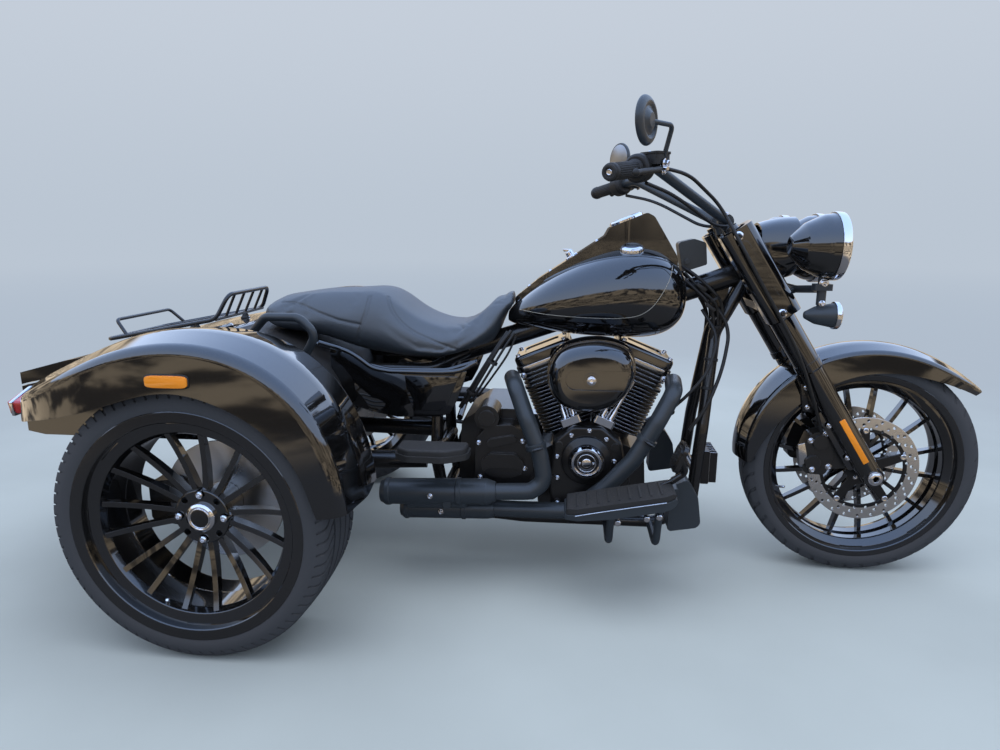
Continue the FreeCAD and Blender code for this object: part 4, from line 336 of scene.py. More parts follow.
GRAIN_DEPTH = 0.0006
SMUDGE_SCALE = 9.0
FRONT_CARRIER_R = 0.117


def new_finish(name, colour, roughness, spread, grain, grain_scale, wear, dust, metallic=0.0, coat=0.0,
               bare=(0.25, 0.25, 0.25), relief="grain", edge=1.0, machined=0.0, **sockets):
    """A layered finish: rounded edges, grain, wandering roughness, worn or machined edges and dust."""
    paint = bpy.context.scene.trike_paint
    material = bpy.data.materials.new(name)
    material.use_nodes = True
    tree = material.node_tree
    shader = tree.nodes["Principled BSDF"].inputs
    shader["Metallic"].default_value = metallic
    shader["Coat Weight"].default_value = coat
    shader["Coat Roughness"].default_value = 0.03
    for label, value in sockets.items():
        shader[label.replace("_", " ").title().replace("Ior", "IOR")].default_value = value
    rounded = place_group(tree, "rounded_edge", Radius=paint.edge_radius * edge)
    bump = tree.nodes.new("ShaderNodeBump")
    for label, value in (("Strength", grain), ("Distance", GRAIN_DEPTH), ("Normal", rounded["Normal"]),
                         ("Height", place_group(tree, relief, Scale=grain_scale)["Height"])):
        feed(tree, bump.inputs[label], value)
    feed(tree, shader["Normal"], bump.outputs["Normal"])
    smudges = place_group(tree, "smudges", Middle=roughness, Spread=spread, Scale=SMUDGE_SCALE)
    feed(tree, shader["Roughness"], smudges["Roughness"])
    worn = place_group(tree, "weathered", Color=rgba(colour), Bare=rgba(bare), Dust=rgba(paint.dust_colour),
                       Edge=rounded["Edge"], Wear=wear, Dustiness=dust)
    feed(tree, shader["Base Color"], worn["Color"])
    if machined:
        cut = add_math(tree, "MULTIPLY", rounded["Edge"], machined, clamp=True)
        feed(tree, shader["Base Color"], add_mix(tree, cut, worn["Color"], rgba(bare)))
        feed(tree, shader["Metallic"], cut)
    return material


FINISHES = {}


def make_finishes():
    """One material for each of the object's own finishes."""
    paint = bpy.context.scene.trike_paint
    gloss = paint.gloss_colour
    cast = paint.frame_colour
    steel = paint.steel_colour
    rubber = bpy.context.scene.trike_tyre.rubber_colour
    # finish, material, colour, roughness and its spread, grain and its scale, wear, dust, and what few have
    for finish, *values, more in (
            ("gloss_black", "body_gloss_black", gloss, 0.06, 0.04, 0.015, 90, 0.05, 0.35,
             {"coat": 1.0, "coat_ior": 1.7}),
            ("frame_black", "frame_black", cast, 0.26, 0.12, 0.05, 300, 0.25, 0.5, {"coat": 0.4}),
            ("engine_black", "crankcase_black", cast, 0.34, 0.14, 0.25, 700, 0.35, 0.5, {"coat": 0.3}),
            ("fin_black", "cylinder_black", cast, 0.36, 0.12, 0.2, 700, 0.0, 0.2,
             {"bare": (0.88, 0.88, 0.9), "machined": 1.0, "edge": 0.9}),
            # satin black: its bluish colour is partly a painted sky sheen on the black coat
            ("satin_black", "pipe_satin_black", paint.satin_and_sheen_colour, 0.36, 0.12, 0.06, 900, 0.1, 0.35, {}),
            ("chrome", "polished_chrome", (0.80, 0.80, 0.82), 0.07, 0.08, 0.01, 300, 0.0, 0.1,
             {"metallic": 1.0}),
            # seat: its blue-grey colour is black vinyl plus a painted sky sheen
            ("seat_leather", "seat_vinyl", (0.035, 0.045, 0.060), 0.48, 0.10, 0.5, 560, 0.0, 0.3,
             {"relief": "pebbles", "specular_ior_level": 1.0}),
            ("moulded_black", "moulded_black", (0.014, 0.014, 0.015), 0.55, 0.12, 0.25, 900, 0.1, 0.5, {}),
            ("lamp_red", "red_lens", (0.36, 0.004, 0.008), 0.08, 0.05, 0.02, 300, 0.0, 0.1, {"coat": 1.0}),
            ("board_rubber", "pad_rubber", (0.02, 0.02, 0.021), 0.68, 0.1, 0.3, 800, 0.0, 0.8, {}),
            ("caliper_black", "caliper_black", (0.011, 0.011, 0.012), 0.30, 0.12, 0.12, 700, 0.3, 0.4,
             {"coat": 0.2}),
            ("rim_black", "rim_gloss_black", gloss, 0.12, 0.08, 0.015, 90, 0.2, 0.3,
             {"coat": 1.0, "coat_ior": 1.7}),
            ("tyre_rubber", "tyre_rubber", rubber, 0.74, 0.14, 0.2, 900, 0.4, 0.9,
             {"bare": (0.05, 0.05, 0.05), "specular_ior_level": 0.2}),
            ("disc_steel", "disc_steel", steel, 0.28, 0.10, 0.05, 500, 0.0, 0.1, {"metallic": 1.0}),
            ("front_disc", "front_disc", steel, 0.28, 0.10, 0.05, 500, 0.0, 0.1, {"metallic": 1.0}),
            ("polished_metal", "polished_alloy", (0.62, 0.62, 0.63), 0.18, 0.10, 0.03, 400, 0.0, 0.15,
             {"metallic": 1.0}),
            ("line_black", "line_black", (0.012, 0.012, 0.013), 0.48, 0.12, 0.15, 900, 0.0, 0.4, {}),
            ("lamp_amber", "amber_lens", (0.85, 0.27, 0.012), 0.10, 0.05, 0.02, 300, 0.0, 0.1, {"coat": 1.0}),
            ("lens_orange", "orange_lens", (0.50, 0.045, 0.01), 0.10, 0.05, 0.02, 300, 0.0, 0.1,
             {"coat": 1.0}),
            ("lamp_clear", "clear_lens", (0.9, 0.92, 0.94), 0.04, 0.03, 0.02, 300, 0.0, 0.05,
             {"edge": 0.4, "transmission_weight": 1.0}),
            ("mirror_glass", "mirror_glass", (0.36, 0.38, 0.41), 0.30, 0.04, 0.0, 300, 0.0, 0.05,
             {"metallic": 1.0, "edge": 0.4}),
            ("dial_black", "dial_face", (0.01, 0.01, 0.012), 0.45, 0.08, 0.1, 300, 0.0, 0.0, {}),
            ("dial_white", "dial_marks", (0.7, 0.7, 0.68), 0.5, 0.05, 0.05, 300, 0.0, 0.0, {}),
            ("plate_white", "blank_plate", (0.55, 0.55, 0.54), 0.35, 0.10, 0.05, 300, 0.1, 0.4, {}),
            ("stripe_grey", "tank_stripe", (0.30, 0.29, 0.26), 0.30, 0.05, 0.05, 300, 0.0, 0.1,
             {"coat": 1.0}),
            ("thread_black", "seam_thread", (0.03, 0.03, 0.033), 0.6, 0.1, 0.2, 300, 0.0, 0.1, {})):
        FINISHES[finish] = new_finish(*values, **more)


def blacken_carrier(material, centre, radius):
    """Black paint inside a radius round the wheel's axis, for the carrier of a brake disc."""
    tree = material.node_tree
    shader = tree.nodes["Principled BSDF"].inputs
    spot = add_vector(tree, "SUBTRACT", own_place(tree), centre)
    flat = add_vector(tree, "MULTIPLY", spot, (1.0, 0.0, 1.0))
    ring = add_ramp(tree, add_vector(tree, "LENGTH", flat, output="Value"), radius, radius + 0.001)
    steel = shader["Base Color"].links[0].from_socket
    black = rgba(bpy.context.scene.trike_paint.frame_colour)
    feed(tree, shader["Base Color"], add_mix(tree, ring, black, steel))
    feed(tree, shader["Metallic"], ring)


def node_slot(name):
    """The record's material slot of a carried-over part."""
    for part in frame["record"]["subparts"]:
        if part["node"] == name:
            return part["material_slot"]
    raise ValueError(f"no material slot for {name}")


def node_centre(name):
    low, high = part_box(name)
    return (low + high) / 2


def node_size(name):
    low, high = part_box(name)
    return high - low


class TRIKE_OT_finishes(bpy.types.Operator):
    """Give every carried-over part its finish"""

    bl_idname = "trike.finishes"
    bl_label = "Finishes"

    def execute(self, context):
        make_finishes()
        for name, part in NODES.items():
            part.data.materials.clear()
            part.data.materials.append(FINISHES[node_slot(name)])
        blacken_carrier(FINISHES["front_disc"], node_centre("front_discs"), FRONT_CARRIER_R)
        NODES["front_discs"].data.materials[0] = FINISHES["front_disc"]
        return {"FINISHED"}


# Making meshes


def at(x, y, z):
    """A place in the object's frame, given in millimetres."""
    return Vector((x, y, z)) * MM


def outward(side):
    """The way out of the object on one side."""
    return Vector((0, side, 0))


def around(turn, r, y=0):
    """A place on a circle seen from the side, from an angle and a radius in millimetres."""
    return at(math.cos(turn) * r, y, math.sin(turn) * r)


def square_to(axis):
    """A direction square to an axis."""
    other = UPWARD if abs(axis.normalized().z) < 0.9 else FORWARD
    return other.cross(axis).normalized()


def flattened(way, normal):
    """A direction laid down into the plane of a normal."""
    return (way - normal * way.dot(normal)).normalized()


def mesh_of(name, bm):
    """Turns a bmesh into a mesh, and frees it."""
    mesh = bpy.data.meshes.new(name)
    bm.to_mesh(mesh)
    bm.free()
    return mesh


def put_in_scene(name, data):
    """A new object of the scene's own collection."""
    thing = bpy.data.objects.new(name, data)
    bpy.context.scene.collection.objects.link(thing)
    return thing


def add_piece(name, bm, materials, body, smooth=35.0):
    """Turns a bmesh into a piece that rides on a body."""
    bmesh.ops.remove_doubles(bm, verts=bm.verts, dist=1e-6)
    bmesh.ops.recalc_face_normals(bm, faces=bm.faces)
    mesh = mesh_of(name, bm)
    for material in materials:
        mesh.materials.append(FINISHES[material])
    mesh.shade_smooth()
    mesh.set_sharp_from_angle(angle=math.radians(smooth))
    piece = put_in_scene(name, mesh)
    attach(piece, body)
    return piece


def absorb(bm, part, index=0, matrix=None):
    """Moves a small mesh in the making into a larger one, with one material number."""
    for face in part.faces:
        face.material_index = index
    if matrix is not None:
        bmesh.ops.transform(part, matrix=matrix, verts=part.verts)
    bmesh.ops.recalc_face_normals(part, faces=part.faces)
    mesh = mesh_of("part", part)
    bm.from_mesh(mesh)
    bpy.data.meshes.remove(mesh)


def moved_verts(result):
    """The vertices that an extrusion made."""
    return [item for item in result["geom"] if isinstance(item, bmesh.types.BMVert)]


def spin_profile(bm, profile, centre, axis, side, steps, closed=False):
    """Turns a profile of (offset along the axis, radius) a full turn."""
    axis = axis.normalized()
    out = flattened(side, axis)
    verts = [bm.verts.new(centre + axis * a + out * r) for a, r in profile]
    edges = [bm.edges.new(pair) for pair in zip(verts, verts[1:])]
    if closed:
        edges.append(bm.edges.new((verts[-1], verts[0])))
    bmesh.ops.spin(bm, geom=verts + edges, cent=centre, axis=axis, angle=2 * math.pi, steps=steps,
                   use_merge=True, use_duplicate=False)


def add_turned(bm, profile, centre, axis, index=0, steps=32, closed=False):
    """Turns a profile of (offset, radius) in millimetres about an axis through a place."""
    part = bmesh.new()
    spin_profile(part, [(a * MM, r * MM) for a, r in profile], centre, axis, square_to(axis), steps, closed)
    bmesh.ops.remove_doubles(part, verts=part.verts, dist=1e-6)
    absorb(bm, part, index)


def add_bolt(bm, place, axis, r, height, index=0, steps=20):
    """A washer and a round-headed bolt with a socket; with six steps the head is a hexagon."""
    add_turned(bm, [(-0.5, 0), (-0.5, r * 1.35), (0.7, r * 1.35), (1.0, r * 1.2), (1.0, 0)],
               place, axis, index, 20)
    add_turned(bm, [(0.5, 0), (0.5, r), (height * 0.8, r), (height, r * 0.78), (height, r * 0.5),
                    (height * 0.45, r * 0.45), (height * 0.45, 0)], place, axis, index, steps)


def smooth_path(points, steps):
    """A smooth curve through points, with a number of steps in each stretch."""
    ends = [points[0] * 2 - points[1]] + list(points) + [points[-1] * 2 - points[-2]]
    path = []
    for a, b, c, d in zip(ends, ends[1:], ends[2:], ends[3:]):
        for i in range(steps):
            t = i / steps
            path.append((b * 2 + (c - a) * t + (a * 2 - b * 5 + c * 4 - d) * t * t
                         + (b * 3 - a - c * 3 + d) * t * t * t) / 2)
    return path + [points[-1].copy()]


def add_sweep(bm, points, radius, index=0, sides=10, steps=4, flat=1.0):
    """A round or flattened tube along a smooth curve through points, closed at both ends."""
    path = smooth_path(points, steps) if steps > 1 else list(points)
    part = bmesh.new()
    rings = []
    side = square_to((path[1] - path[0]).normalized())
    for i, spot in enumerate(path):
        way = (path[min(i + 1, len(path) - 1)] - path[max(i - 1, 0)]).normalized()
        side = flattened(side, way)
        other = way.cross(side)
        ring = []
        for k in range(sides):
            turn = 2 * math.pi * k / sides
            ring.append(part.verts.new(spot + side * (math.cos(turn) * radius)
                                       + other * (math.sin(turn) * radius * flat)))
        rings.append(ring)
    for a, b in zip(rings, rings[1:]):
        for k in range(sides):
            part.faces.new((a[k], a[(k + 1) % sides], b[(k + 1) % sides], b[k]))
    part.faces.new(rings[0])
    part.faces.new(rings[-1])
    absorb(bm, part, index)


def add_plate(bm, corners, push, index=0, bevel=1.0):
    """A flat plate: an outline pushed out by a vector, with its edges rounded."""
    part = bmesh.new()
    face = part.faces.new([part.verts.new(corner) for corner in corners])
    moved = bmesh.ops.extrude_face_region(part, geom=[face])
    bmesh.ops.translate(part, vec=push, verts=moved_verts(moved))
    bmesh.ops.bevel(part, geom=list(part.edges), offset=bevel * MM, offset_type="OFFSET", segments=2,
                    profile=0.5, affect="EDGES", clamp_overlap=True, material=-1)
    absorb(bm, part, index)


def oval(centre, across, up, half_w, half_h, power=2.0, count=40):
    """Corners of an oval or a rounded rectangle in the plane of two directions; half sizes in millimetres."""
    corners = []
    for k in range(count):
        turn = 2 * math.pi * k / count
        c = math.cos(turn)
        s = math.sin(turn)
        corners.append(centre + across * (half_w * MM * math.copysign(abs(c) ** (2 / power), c))
                       + up * (half_h * MM * math.copysign(abs(s) ** (2 / power), s)))
    return corners


def add_pads(bm, spot, normal, across, up, power, count, pads):
    """Oval pads of (half width, half height, thickness, material, bevel) sunk 2 mm into a surface."""
    for half_w, half_h, thick, index, bevel in pads:
        add_plate(bm, oval(spot - normal * 2 * MM, across, up, half_w, half_h, power, count),
                  normal * thick * MM, index, bevel)


SURFACES = {}


def touch(node, origin, way):
    """Where a straight line first meets a carried-over part, and the outward normal there."""
    if node not in SURFACES:
        part = NODES[node]
        SURFACES[node] = BVHTree.FromPolygons([part.matrix_world @ v.co for v in part.data.vertices],
                                              [tuple(p.vertices) for p in part.data.polygons])
    spot, normal = SURFACES[node].ray_cast(origin, way.normalized())[:2]
    if spot is None:
        raise ValueError(f"no surface of {node} that way")
    return spot, -normal if normal.dot(way) > 0 else normal


def bolt_on(bm, node, origin, way, r, height, axis=None):
    """A bolt where a straight line first meets a carried-over part, square to it unless an axis is given."""
    spot, normal = touch(node, origin, way)
    add_bolt(bm, spot, normal if axis is None else axis, r, height)


# Tyres: a turned section with ribs, then cross grooves pressed into the shoulder ribs


# Rims as bead radius, lip radius and half width in metres
REAR_RIM = (0.229, 0.247, 0.087)
FRONT_RIM = (0.241, 0.255, 0.050)
# Grooves round the tread, as their places across it in metres
REAR_GROOVES = (-0.052, -0.018, 0.018, 0.052)
FRONT_GROOVES = (-0.018, 0.018)
TYRE_INSET = 0.0002
CROWN_DROP = 0.0035
SHOULDER_DEPTH = 0.022
FACES_PER_PITCH = 5


def arc_through(a, middle, b, count):
    """Points along the circle through three points in a plane, ends included."""
    ax, ay = a
    bx, by = middle
    cx, cy = b
    d = 2 * (ax * (by - cy) + bx * (cy - ay) + cx * (ay - by))
    ux = ((ax**2 + ay**2) * (by - cy) + (bx**2 + by**2) * (cy - ay) + (cx**2 + cy**2) * (ay - by)) / d
    uy = ((ax**2 + ay**2) * (cx - bx) + (bx**2 + by**2) * (ax - cx) + (cx**2 + cy**2) * (bx - ax)) / d
    r = math.hypot(ax - ux, ay - uy)
    start = math.atan2(ay - uy, ax - ux)
    sweep = (math.atan2(cy - uy, cx - ux) - start + math.pi) % (2 * math.pi) - math.pi
    return [(ux + r * math.cos(start + sweep * i / (count - 1)),
             uy + r * math.sin(start + sweep * i / (count - 1))) for i in range(count)]


def tyre_flank(half, radius, rim, count):
    """A tyre's bulging side from the rim's lip to the shoulder, as (offset, radius)."""
    lip_r, rim_half = rim[1:]
    return arc_through((rim_half - 0.004, lip_r + 0.002), (half, (lip_r + radius) / 2 - 0.004),
                       (half - 0.007, radius - CROWN_DROP - 0.014), count)


def tyre_section(half, radius, rim, grooves, groove_w, groove_d):
    """Closed section of a tyre as (offset, radius), from the outer bead round to the inner bead."""
    bead_r, lip_r, rim_half = rim
    shoulder = half - 0.020
    crown = radius - CROWN_DROP
    round_off = arc_through((half - 0.007, crown - 0.014), (half - 0.012, crown - 0.005),
                            (shoulder, crown), 4)
    flank = ([(rim_half - 0.010, bead_r + 0.0006), (rim_half - 0.0095, lip_r)]
             + tyre_flank(half, radius, rim, 12) + round_off[1:])
    tread = []
    rise = CROWN_DROP / shoulder**2
    edges = sorted([g + s * groove_w / 2 for g in grooves for s in (-1, 1)], reverse=True)
    for index, y in enumerate(edges):
        level = radius - rise * y * y
        pair = [(y, level), (y, level - groove_d)]
        tread += pair if index % 2 == 0 else pair[::-1]
    return flank + tread + [(-y, r) for y, r in reversed(flank)]


def build_tyre(name, node, body, side, rim, grooves, groove_w, pitches, sweep):
    """One tyre in the place of its CAD node, with slanted cross grooves in its outer ribs."""
    depth = bpy.context.scene.trike_tyre.groove_depth
    centre = node_centre(node)
    radius = node_size(node).z / 2 - TYRE_INSET
    half = node_size(node).y / 2 - TYRE_INSET
    steps = pitches * FACES_PER_PITCH
    bm = bmesh.new()
    spin_profile(bm, tyre_section(half, radius, rim, grooves, groove_w, depth), centre, outward(side), UPWARD,
                 steps, closed=True)
    bmesh.ops.recalc_face_normals(bm, faces=bm.faces)
    outer_rib = max(grooves) + groove_w / 2
    pressed = []
    for face in bm.faces:
        spot = face.calc_center_median() - centre
        pitch = math.floor(math.atan2(spot.z, spot.x) / (2 * math.pi) * steps) % FACES_PER_PITCH
        on_rib = abs(spot.y) > outer_rib and math.hypot(spot.x, spot.z) > radius - SHOULDER_DEPTH
        if on_rib and pitch == (0 if spot.y > 0 else 2):
            pressed.append(face)
    for vert in moved_verts(bmesh.ops.extrude_face_region(bm, geom=pressed)):
        spot = vert.co - centre
        r = math.hypot(spot.x, spot.z)
        shrink = (r - depth * 0.8) / r
        vert.co = centre + Vector((spot.x * shrink, spot.y, spot.z * shrink))
    bmesh.ops.delete(bm, geom=[f for f in pressed if f.is_valid], context="FACES")
    for vert in bm.verts:
        spot = vert.co - centre
        reach = max(0.0, abs(spot.y) - outer_rib) / (half - outer_rib)
        vert.co = centre + Matrix.Rotation(sweep * reach, 3, "Y") @ spot
    piece = add_piece(name, bm, ["tyre_rubber"], body, 28.0)
    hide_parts(node)


class TRIKE_OT_tyres(bpy.types.Operator):
    """Model the three tyres with ribs, cross grooves and rounded sidewalls"""

    bl_idname = "trike.tyres"
    bl_label = "Tyres"

    def execute(self, context):
        tyre = context.scene.trike_tyre
        for word, side in SIDES:
            build_tyre("tyre_rear_" + word, "rear_tyre_" + word, "rear_wheel_" + word, side, REAR_RIM,
                       REAR_GROOVES, 0.009, tyre.rear_pitches, math.radians(7))
        build_tyre("tyre_front", "front_tyre", "front_wheel", 1, FRONT_RIM, FRONT_GROOVES, 0.007,
                   tyre.front_pitches, math.radians(9))
        return {"FINISHED"}


# Seat: the carried-over form is remeshed, blown up as sewn padding, then grooved along its seams


# Stretches of seam on the seat's side, as places in the XZ plane in millimetres
SEAMS = (((-331, 790), (-301, 742), (-254, 704), (-192, 677), (-111, 645)),
         ((-379, 792), (-383, 754), (-395, 716), (-409, 672)),
         ((-640, 772), (-588, 768), (-521, 747), (-463, 729), (-395, 716)))
SEAM_REACH = 7.0 * MM
SEAM_DEPTH = 3.2 * MM
STITCH_PITCH = 6.0 * MM
STITCH_ROW = 5.0 * MM
LAST_STEP = 20
CLOTH = {"quality": 4, "mass": 0.4, "tension_stiffness": 12, "compression_stiffness": 12,
         "shear_stiffness": 6, "bending_stiffness": 0.8, "use_pressure": True, "uniform_pressure_force": 4.0,
         "vertex_group_mass": "pins"}


def bake_modifiers(pad):
    """Makes a piece's modifiers part of its mesh."""
    shape = bpy.data.meshes.new_from_object(pad.evaluated_get(bpy.context.evaluated_depsgraph_get()))
    pad.modifiers.clear()
    pad.data = shape
    return shape


def remeshed_pad(seat):
    """A closed, evenly meshed copy of the seat's form, a little smaller than its cover."""
    bm = bmesh.new()
    bm.from_mesh(NODES["seat"].data)
    bm.transform(NODES["seat"].matrix_world)
    bmesh.ops.remove_doubles(bm, verts=bm.verts, dist=1e-5)
    bmesh.ops.recalc_face_normals(bm, faces=bm.faces)
    pad = put_in_scene("seat_pad", mesh_of("seat_pad", bm))
    remesh = pad.modifiers.new("remesh", "REMESH")
    remesh.mode = "VOXEL"
    remesh.voxel_size = seat.voxel
    smooth = pad.modifiers.new("smooth", "SMOOTH")
    smooth.factor = 0.5
    smooth.iterations = 6
    shape = bake_modifiers(pad)
    for vert, normal in zip(shape.vertices, [v.normal.copy() for v in shape.vertices]):
        vert.co = vert.co - normal * seat.shrink
    return pad


def swell_pad(pad, seat):
    """Blows the pad up by cloth simulation with a cap on its movement, and keeps the result."""
    scene = bpy.context.scene
    rest = [v.co.copy() for v in pad.data.vertices]
    low = min(co.z for co in rest)
    pins = pad.vertex_groups.new(name="pins")
    for vert in pad.data.vertices:
        held = vert.normal.z < -0.6 or vert.co.x > 0.0 or vert.co.z < low + 0.02
        pins.add([vert.index], 1.0 if held else 0.0, "REPLACE")
    cloth = pad.modifiers.new("cloth", "CLOTH")
    for name, value in CLOTH.items():
        setattr(cloth.settings, name, value)
    cloth.settings.effector_weights.gravity = 0
    cloth.collision_settings.use_collision = False
    cloth.point_cache.frame_start = 1
    cloth.point_cache.frame_end = LAST_STEP
    for step in range(1, LAST_STEP + 1):
        scene.frame_set(step)
    shape = pad.evaluated_get(bpy.context.evaluated_depsgraph_get()).to_mesh()
    swollen = [v.co.copy() for v in shape.vertices]
    pad.modifiers.remove(cloth)
    scene.frame_set(1)
    pad.vertex_groups.clear()
    for vert, start, end in zip(pad.data.vertices, rest, swollen):
        move = end - start
        if move.length > seat.swell:
            move = move.normalized() * seat.swell
        vert.co = start + move


def seat_seams(skin):
    """The seams on both sides of the seat as curves that lie on its skin."""
    curves = []
    for side in (-1, 1):
        for seam in SEAMS:
            hits = [skin.ray_cast(Vector((spot.x, side * 0.5, spot.z)), -outward(side))[0]
                    for spot in smooth_path([at(x, 0, z) for x, z in seam], 10)]
            curves.append([hit for hit in hits if hit is not None])
    return curves


def press_seams(shape, curves):
    """Presses a groove into the pad along every seam."""
    spots = [spot for line in curves for a, b in zip(line, line[1:]) for spot in (a, (a + b) / 2)]
    near = KDTree(len(spots))
    for index, spot in enumerate(spots):
        near.insert(spot, index)
    near.balance()
    for vert, normal in zip(shape.vertices, [v.normal.copy() for v in shape.vertices]):
        distance = near.find(vert.co)[2]
        if distance < SEAM_REACH:
            fall = 0.5 + 0.5 * math.cos(math.pi * distance / SEAM_REACH)
            vert.co = vert.co - normal * (SEAM_DEPTH * fall)


def add_stitches(bm, skin, line, row):
    """One row of thread beside a seam, on one side of its groove."""
    walked = 0.0
    following = 0.0
    for a, b in zip(line, line[1:]):
        step = (b - a).length
        way = (b - a) / max(step, 1e-9)
        while following < walked + step:
            hit, normal = skin.find_nearest(a + way * (following - walked))[:2]
            across = way.cross(normal).normalized()
            base = skin.find_nearest(hit + across * (row * STITCH_ROW))[0] - normal * 0.9 * MM
            add_sweep(bm, [base - way * 1.6 * MM, base + way * 1.6 * MM], 0.55 * MM, 0, 5, 1)
            following += STITCH_PITCH
        walked += step


class TRIKE_OT_seat(bpy.types.Operator):
    """Model the padded seat with its sewn seams"""

    bl_idname = "trike.seat"
    bl_label = "Seat"

    def execute(self, context):
        seat = context.scene.trike_seat
        pad = remeshed_pad(seat)
        swell_pad(pad, seat)
        fine = pad.modifiers.new("fine", "SUBSURF")
        fine.levels = 1
        fine.render_levels = 1
        shape = bake_modifiers(pad)
        shape.name = "seat_pad"
        skin = BVHTree.FromPolygons([v.co.copy() for v in shape.vertices],
                                    [tuple(p.vertices) for p in shape.polygons])
        curves = seat_seams(skin)
        press_seams(shape, curves)
        shape.shade_smooth()
        shape.materials.append(FINISHES["seat_leather"])
        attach(pad, "chassis")
        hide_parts("seat")
        bm = bmesh.new()
        for line in curves:
            for row in (-1, 1):
                add_stitches(bm, skin, line, row)
        add_piece("seat_stitches", bm, ["thread_black"], "chassis")
        return {"FINISHED"}


# Wheels


CARRIER_ARMS = 5
CARRIER_FIRST_ARM = 20
# Disc fixings of the front wheel, as distances from the axle and out from the middle
RIVET_R = 111
CARRIER_BOLT_R = 33
DISC_FACE_Y = 66
# Valves, as an angle, a distance from the axle and a place across the wheel
REAR_VALVE = (math.radians(248), 219, 60)
FRONT_VALVE = (math.radians(200), 231, -22)
# Places on the front caliper, as X from the axle and Z from the ground
CALIPER_BOLTS = ((-158, 404), (-120, 425), (-104, 330), (-150, 322))
CALIPER_PLATE = ((-192, 392), (-174, 398), (-160, 343), (-182, 330))
CALIPER_PLATE_MIDDLE = (-177, 366)
# Bolts up the lower fork leg, as heights over the axle
LEG_BOLTS = (60, 150)
# Stay of the front mudguard, as a height on the fork leg, places round it, and its inner face and thickness
STAY_Z = 520
STAY = ((-58, -34), (6, -40), (-24, 52), (-70, 44))
STAY_BOLTS = ((-46, -22), (-54, 34))
STAY_Y = 78.5
STAY_THICK = 7
FORK_LEAN = math.radians(32.5)
FORK_WAY = Vector((-math.sin(FORK_LEAN), 0, math.cos(FORK_LEAN)))
FORK_Y = 112.0
FRONT_AXLE = node_centre("front_axle") / MM


def fork_point(z, side):
    """A place on a fork leg's axis at a height, in millimetres."""
    foot = Vector((FRONT_AXLE.x, side * FORK_Y, FRONT_AXLE.z))
    return foot + FORK_WAY * ((z - FRONT_AXLE.z) / FORK_WAY.z)


def add_flange(bm, node, rim, side, grow):
    """The rim's flat gloss flange, whose outer edge rests on the tyre's flank."""
    half = node_size(node).y / 2
    radius = node_size(node).z / 2
    lip_r, rim_half = rim[1:]
    foot = [(y - 0.001, r) for y, r in tyre_flank(half, radius, rim, 40) if r < lip_r + grow]
    face, edge = foot[-1]
    face += 0.0025
    ring = foot + [(face - 0.001, edge + 0.0015), (face, edge), (face - 0.002, lip_r),
                   (face - 0.004, lip_r - 0.002), (rim_half + 0.0005, lip_r - 0.0025),
                   (rim_half - 0.004, lip_r - 0.0015)]
    add_turned(bm, [(y / MM, r / MM) for y, r in ring], node_centre(node), outward(side), 0, 128, True)


def rear_wheel_fittings(word, side):
    """The dark middle of a hub cap in its bright ring, the valve and the rim's flange."""
    centre = node_centre("rear_tyre_" + word)
    out = outward(side)
    bm = bmesh.new()
    add_turned(bm, [(42.6, 0), (42.6, 22), (43.6, 22), (44.2, 19), (43.8, 0)], centre, out, 1, 48)
    add_turned(bm, [(42.6, 22), (42.6, 24.5), (45.2, 24.5), (45.8, 22.8), (44.6, 21.6)],
               centre, out, 0, 64, True)
    turn, r, y = REAR_VALVE
    lip = around(turn, 1 / MM)
    valve = centre + out * y * MM + lip * r * MM
    way = (out * 0.8 - lip * 0.6).normalized()
    add_turned(bm, [(-6, 0), (-6, 6.5), (0, 6.5), (2, 4.2), (16, 3.8), (16, 0)], valve, way, 1, 20)
    add_turned(bm, [(15, 0), (15, 4.6), (24, 4.6), (26, 3), (26, 0)], valve, way, 0, 12)
    add_piece("wheel_fittings_" + word, bm, ["chrome", "frame_black"], "rear_wheel_" + word)
    bm = bmesh.new()
    add_flange(bm, "rear_tyre_" + word, REAR_RIM, side, 0.024)
    add_piece("rim_flange_" + word, bm, ["rim_black"], "rear_wheel_" + word)


def front_wheel_fittings():
    """The discs' rivets and bolts, the valve and the rim's two flanges."""
    centre = node_centre("front_tyre")
    bm = bmesh.new()
    for side in (-1, 1):
        for k in range(CARRIER_ARMS):
            turn = math.radians(360 / CARRIER_ARMS * k + CARRIER_FIRST_ARM)
            add_turned(bm, [(-1, 0), (-1, 8.5), (1.2, 8.5), (2.2, 6.5), (1.4, 4), (1.4, 0)],
                       centre + around(turn, RIVET_R, side * DISC_FACE_Y), outward(side), 0, 24)
            add_bolt(bm, centre + around(turn, CARRIER_BOLT_R, side * DISC_FACE_Y), outward(side), 4.5, 4)
    turn, r, y = FRONT_VALVE
    lip = around(turn, 1 / MM)
    valve = centre + at(0, y, 0) + lip * r * MM
    add_turned(bm, [(-6, 0), (-6, 6), (0, 6), (2, 4), (16, 3.6), (24, 3.6), (26, 2.5), (26, 0)], valve,
               (RIGHT * 0.7 - lip * 0.7).normalized(), 0, 16)
    add_piece("front_wheel_fittings", bm, ["chrome"], "front_wheel")
    bm = bmesh.new()
    for side in (-1, 1):
        add_flange(bm, "front_tyre", FRONT_RIM, side, 0.015)
    add_piece("front_rim_flanges", bm, ["rim_black"], "front_wheel")


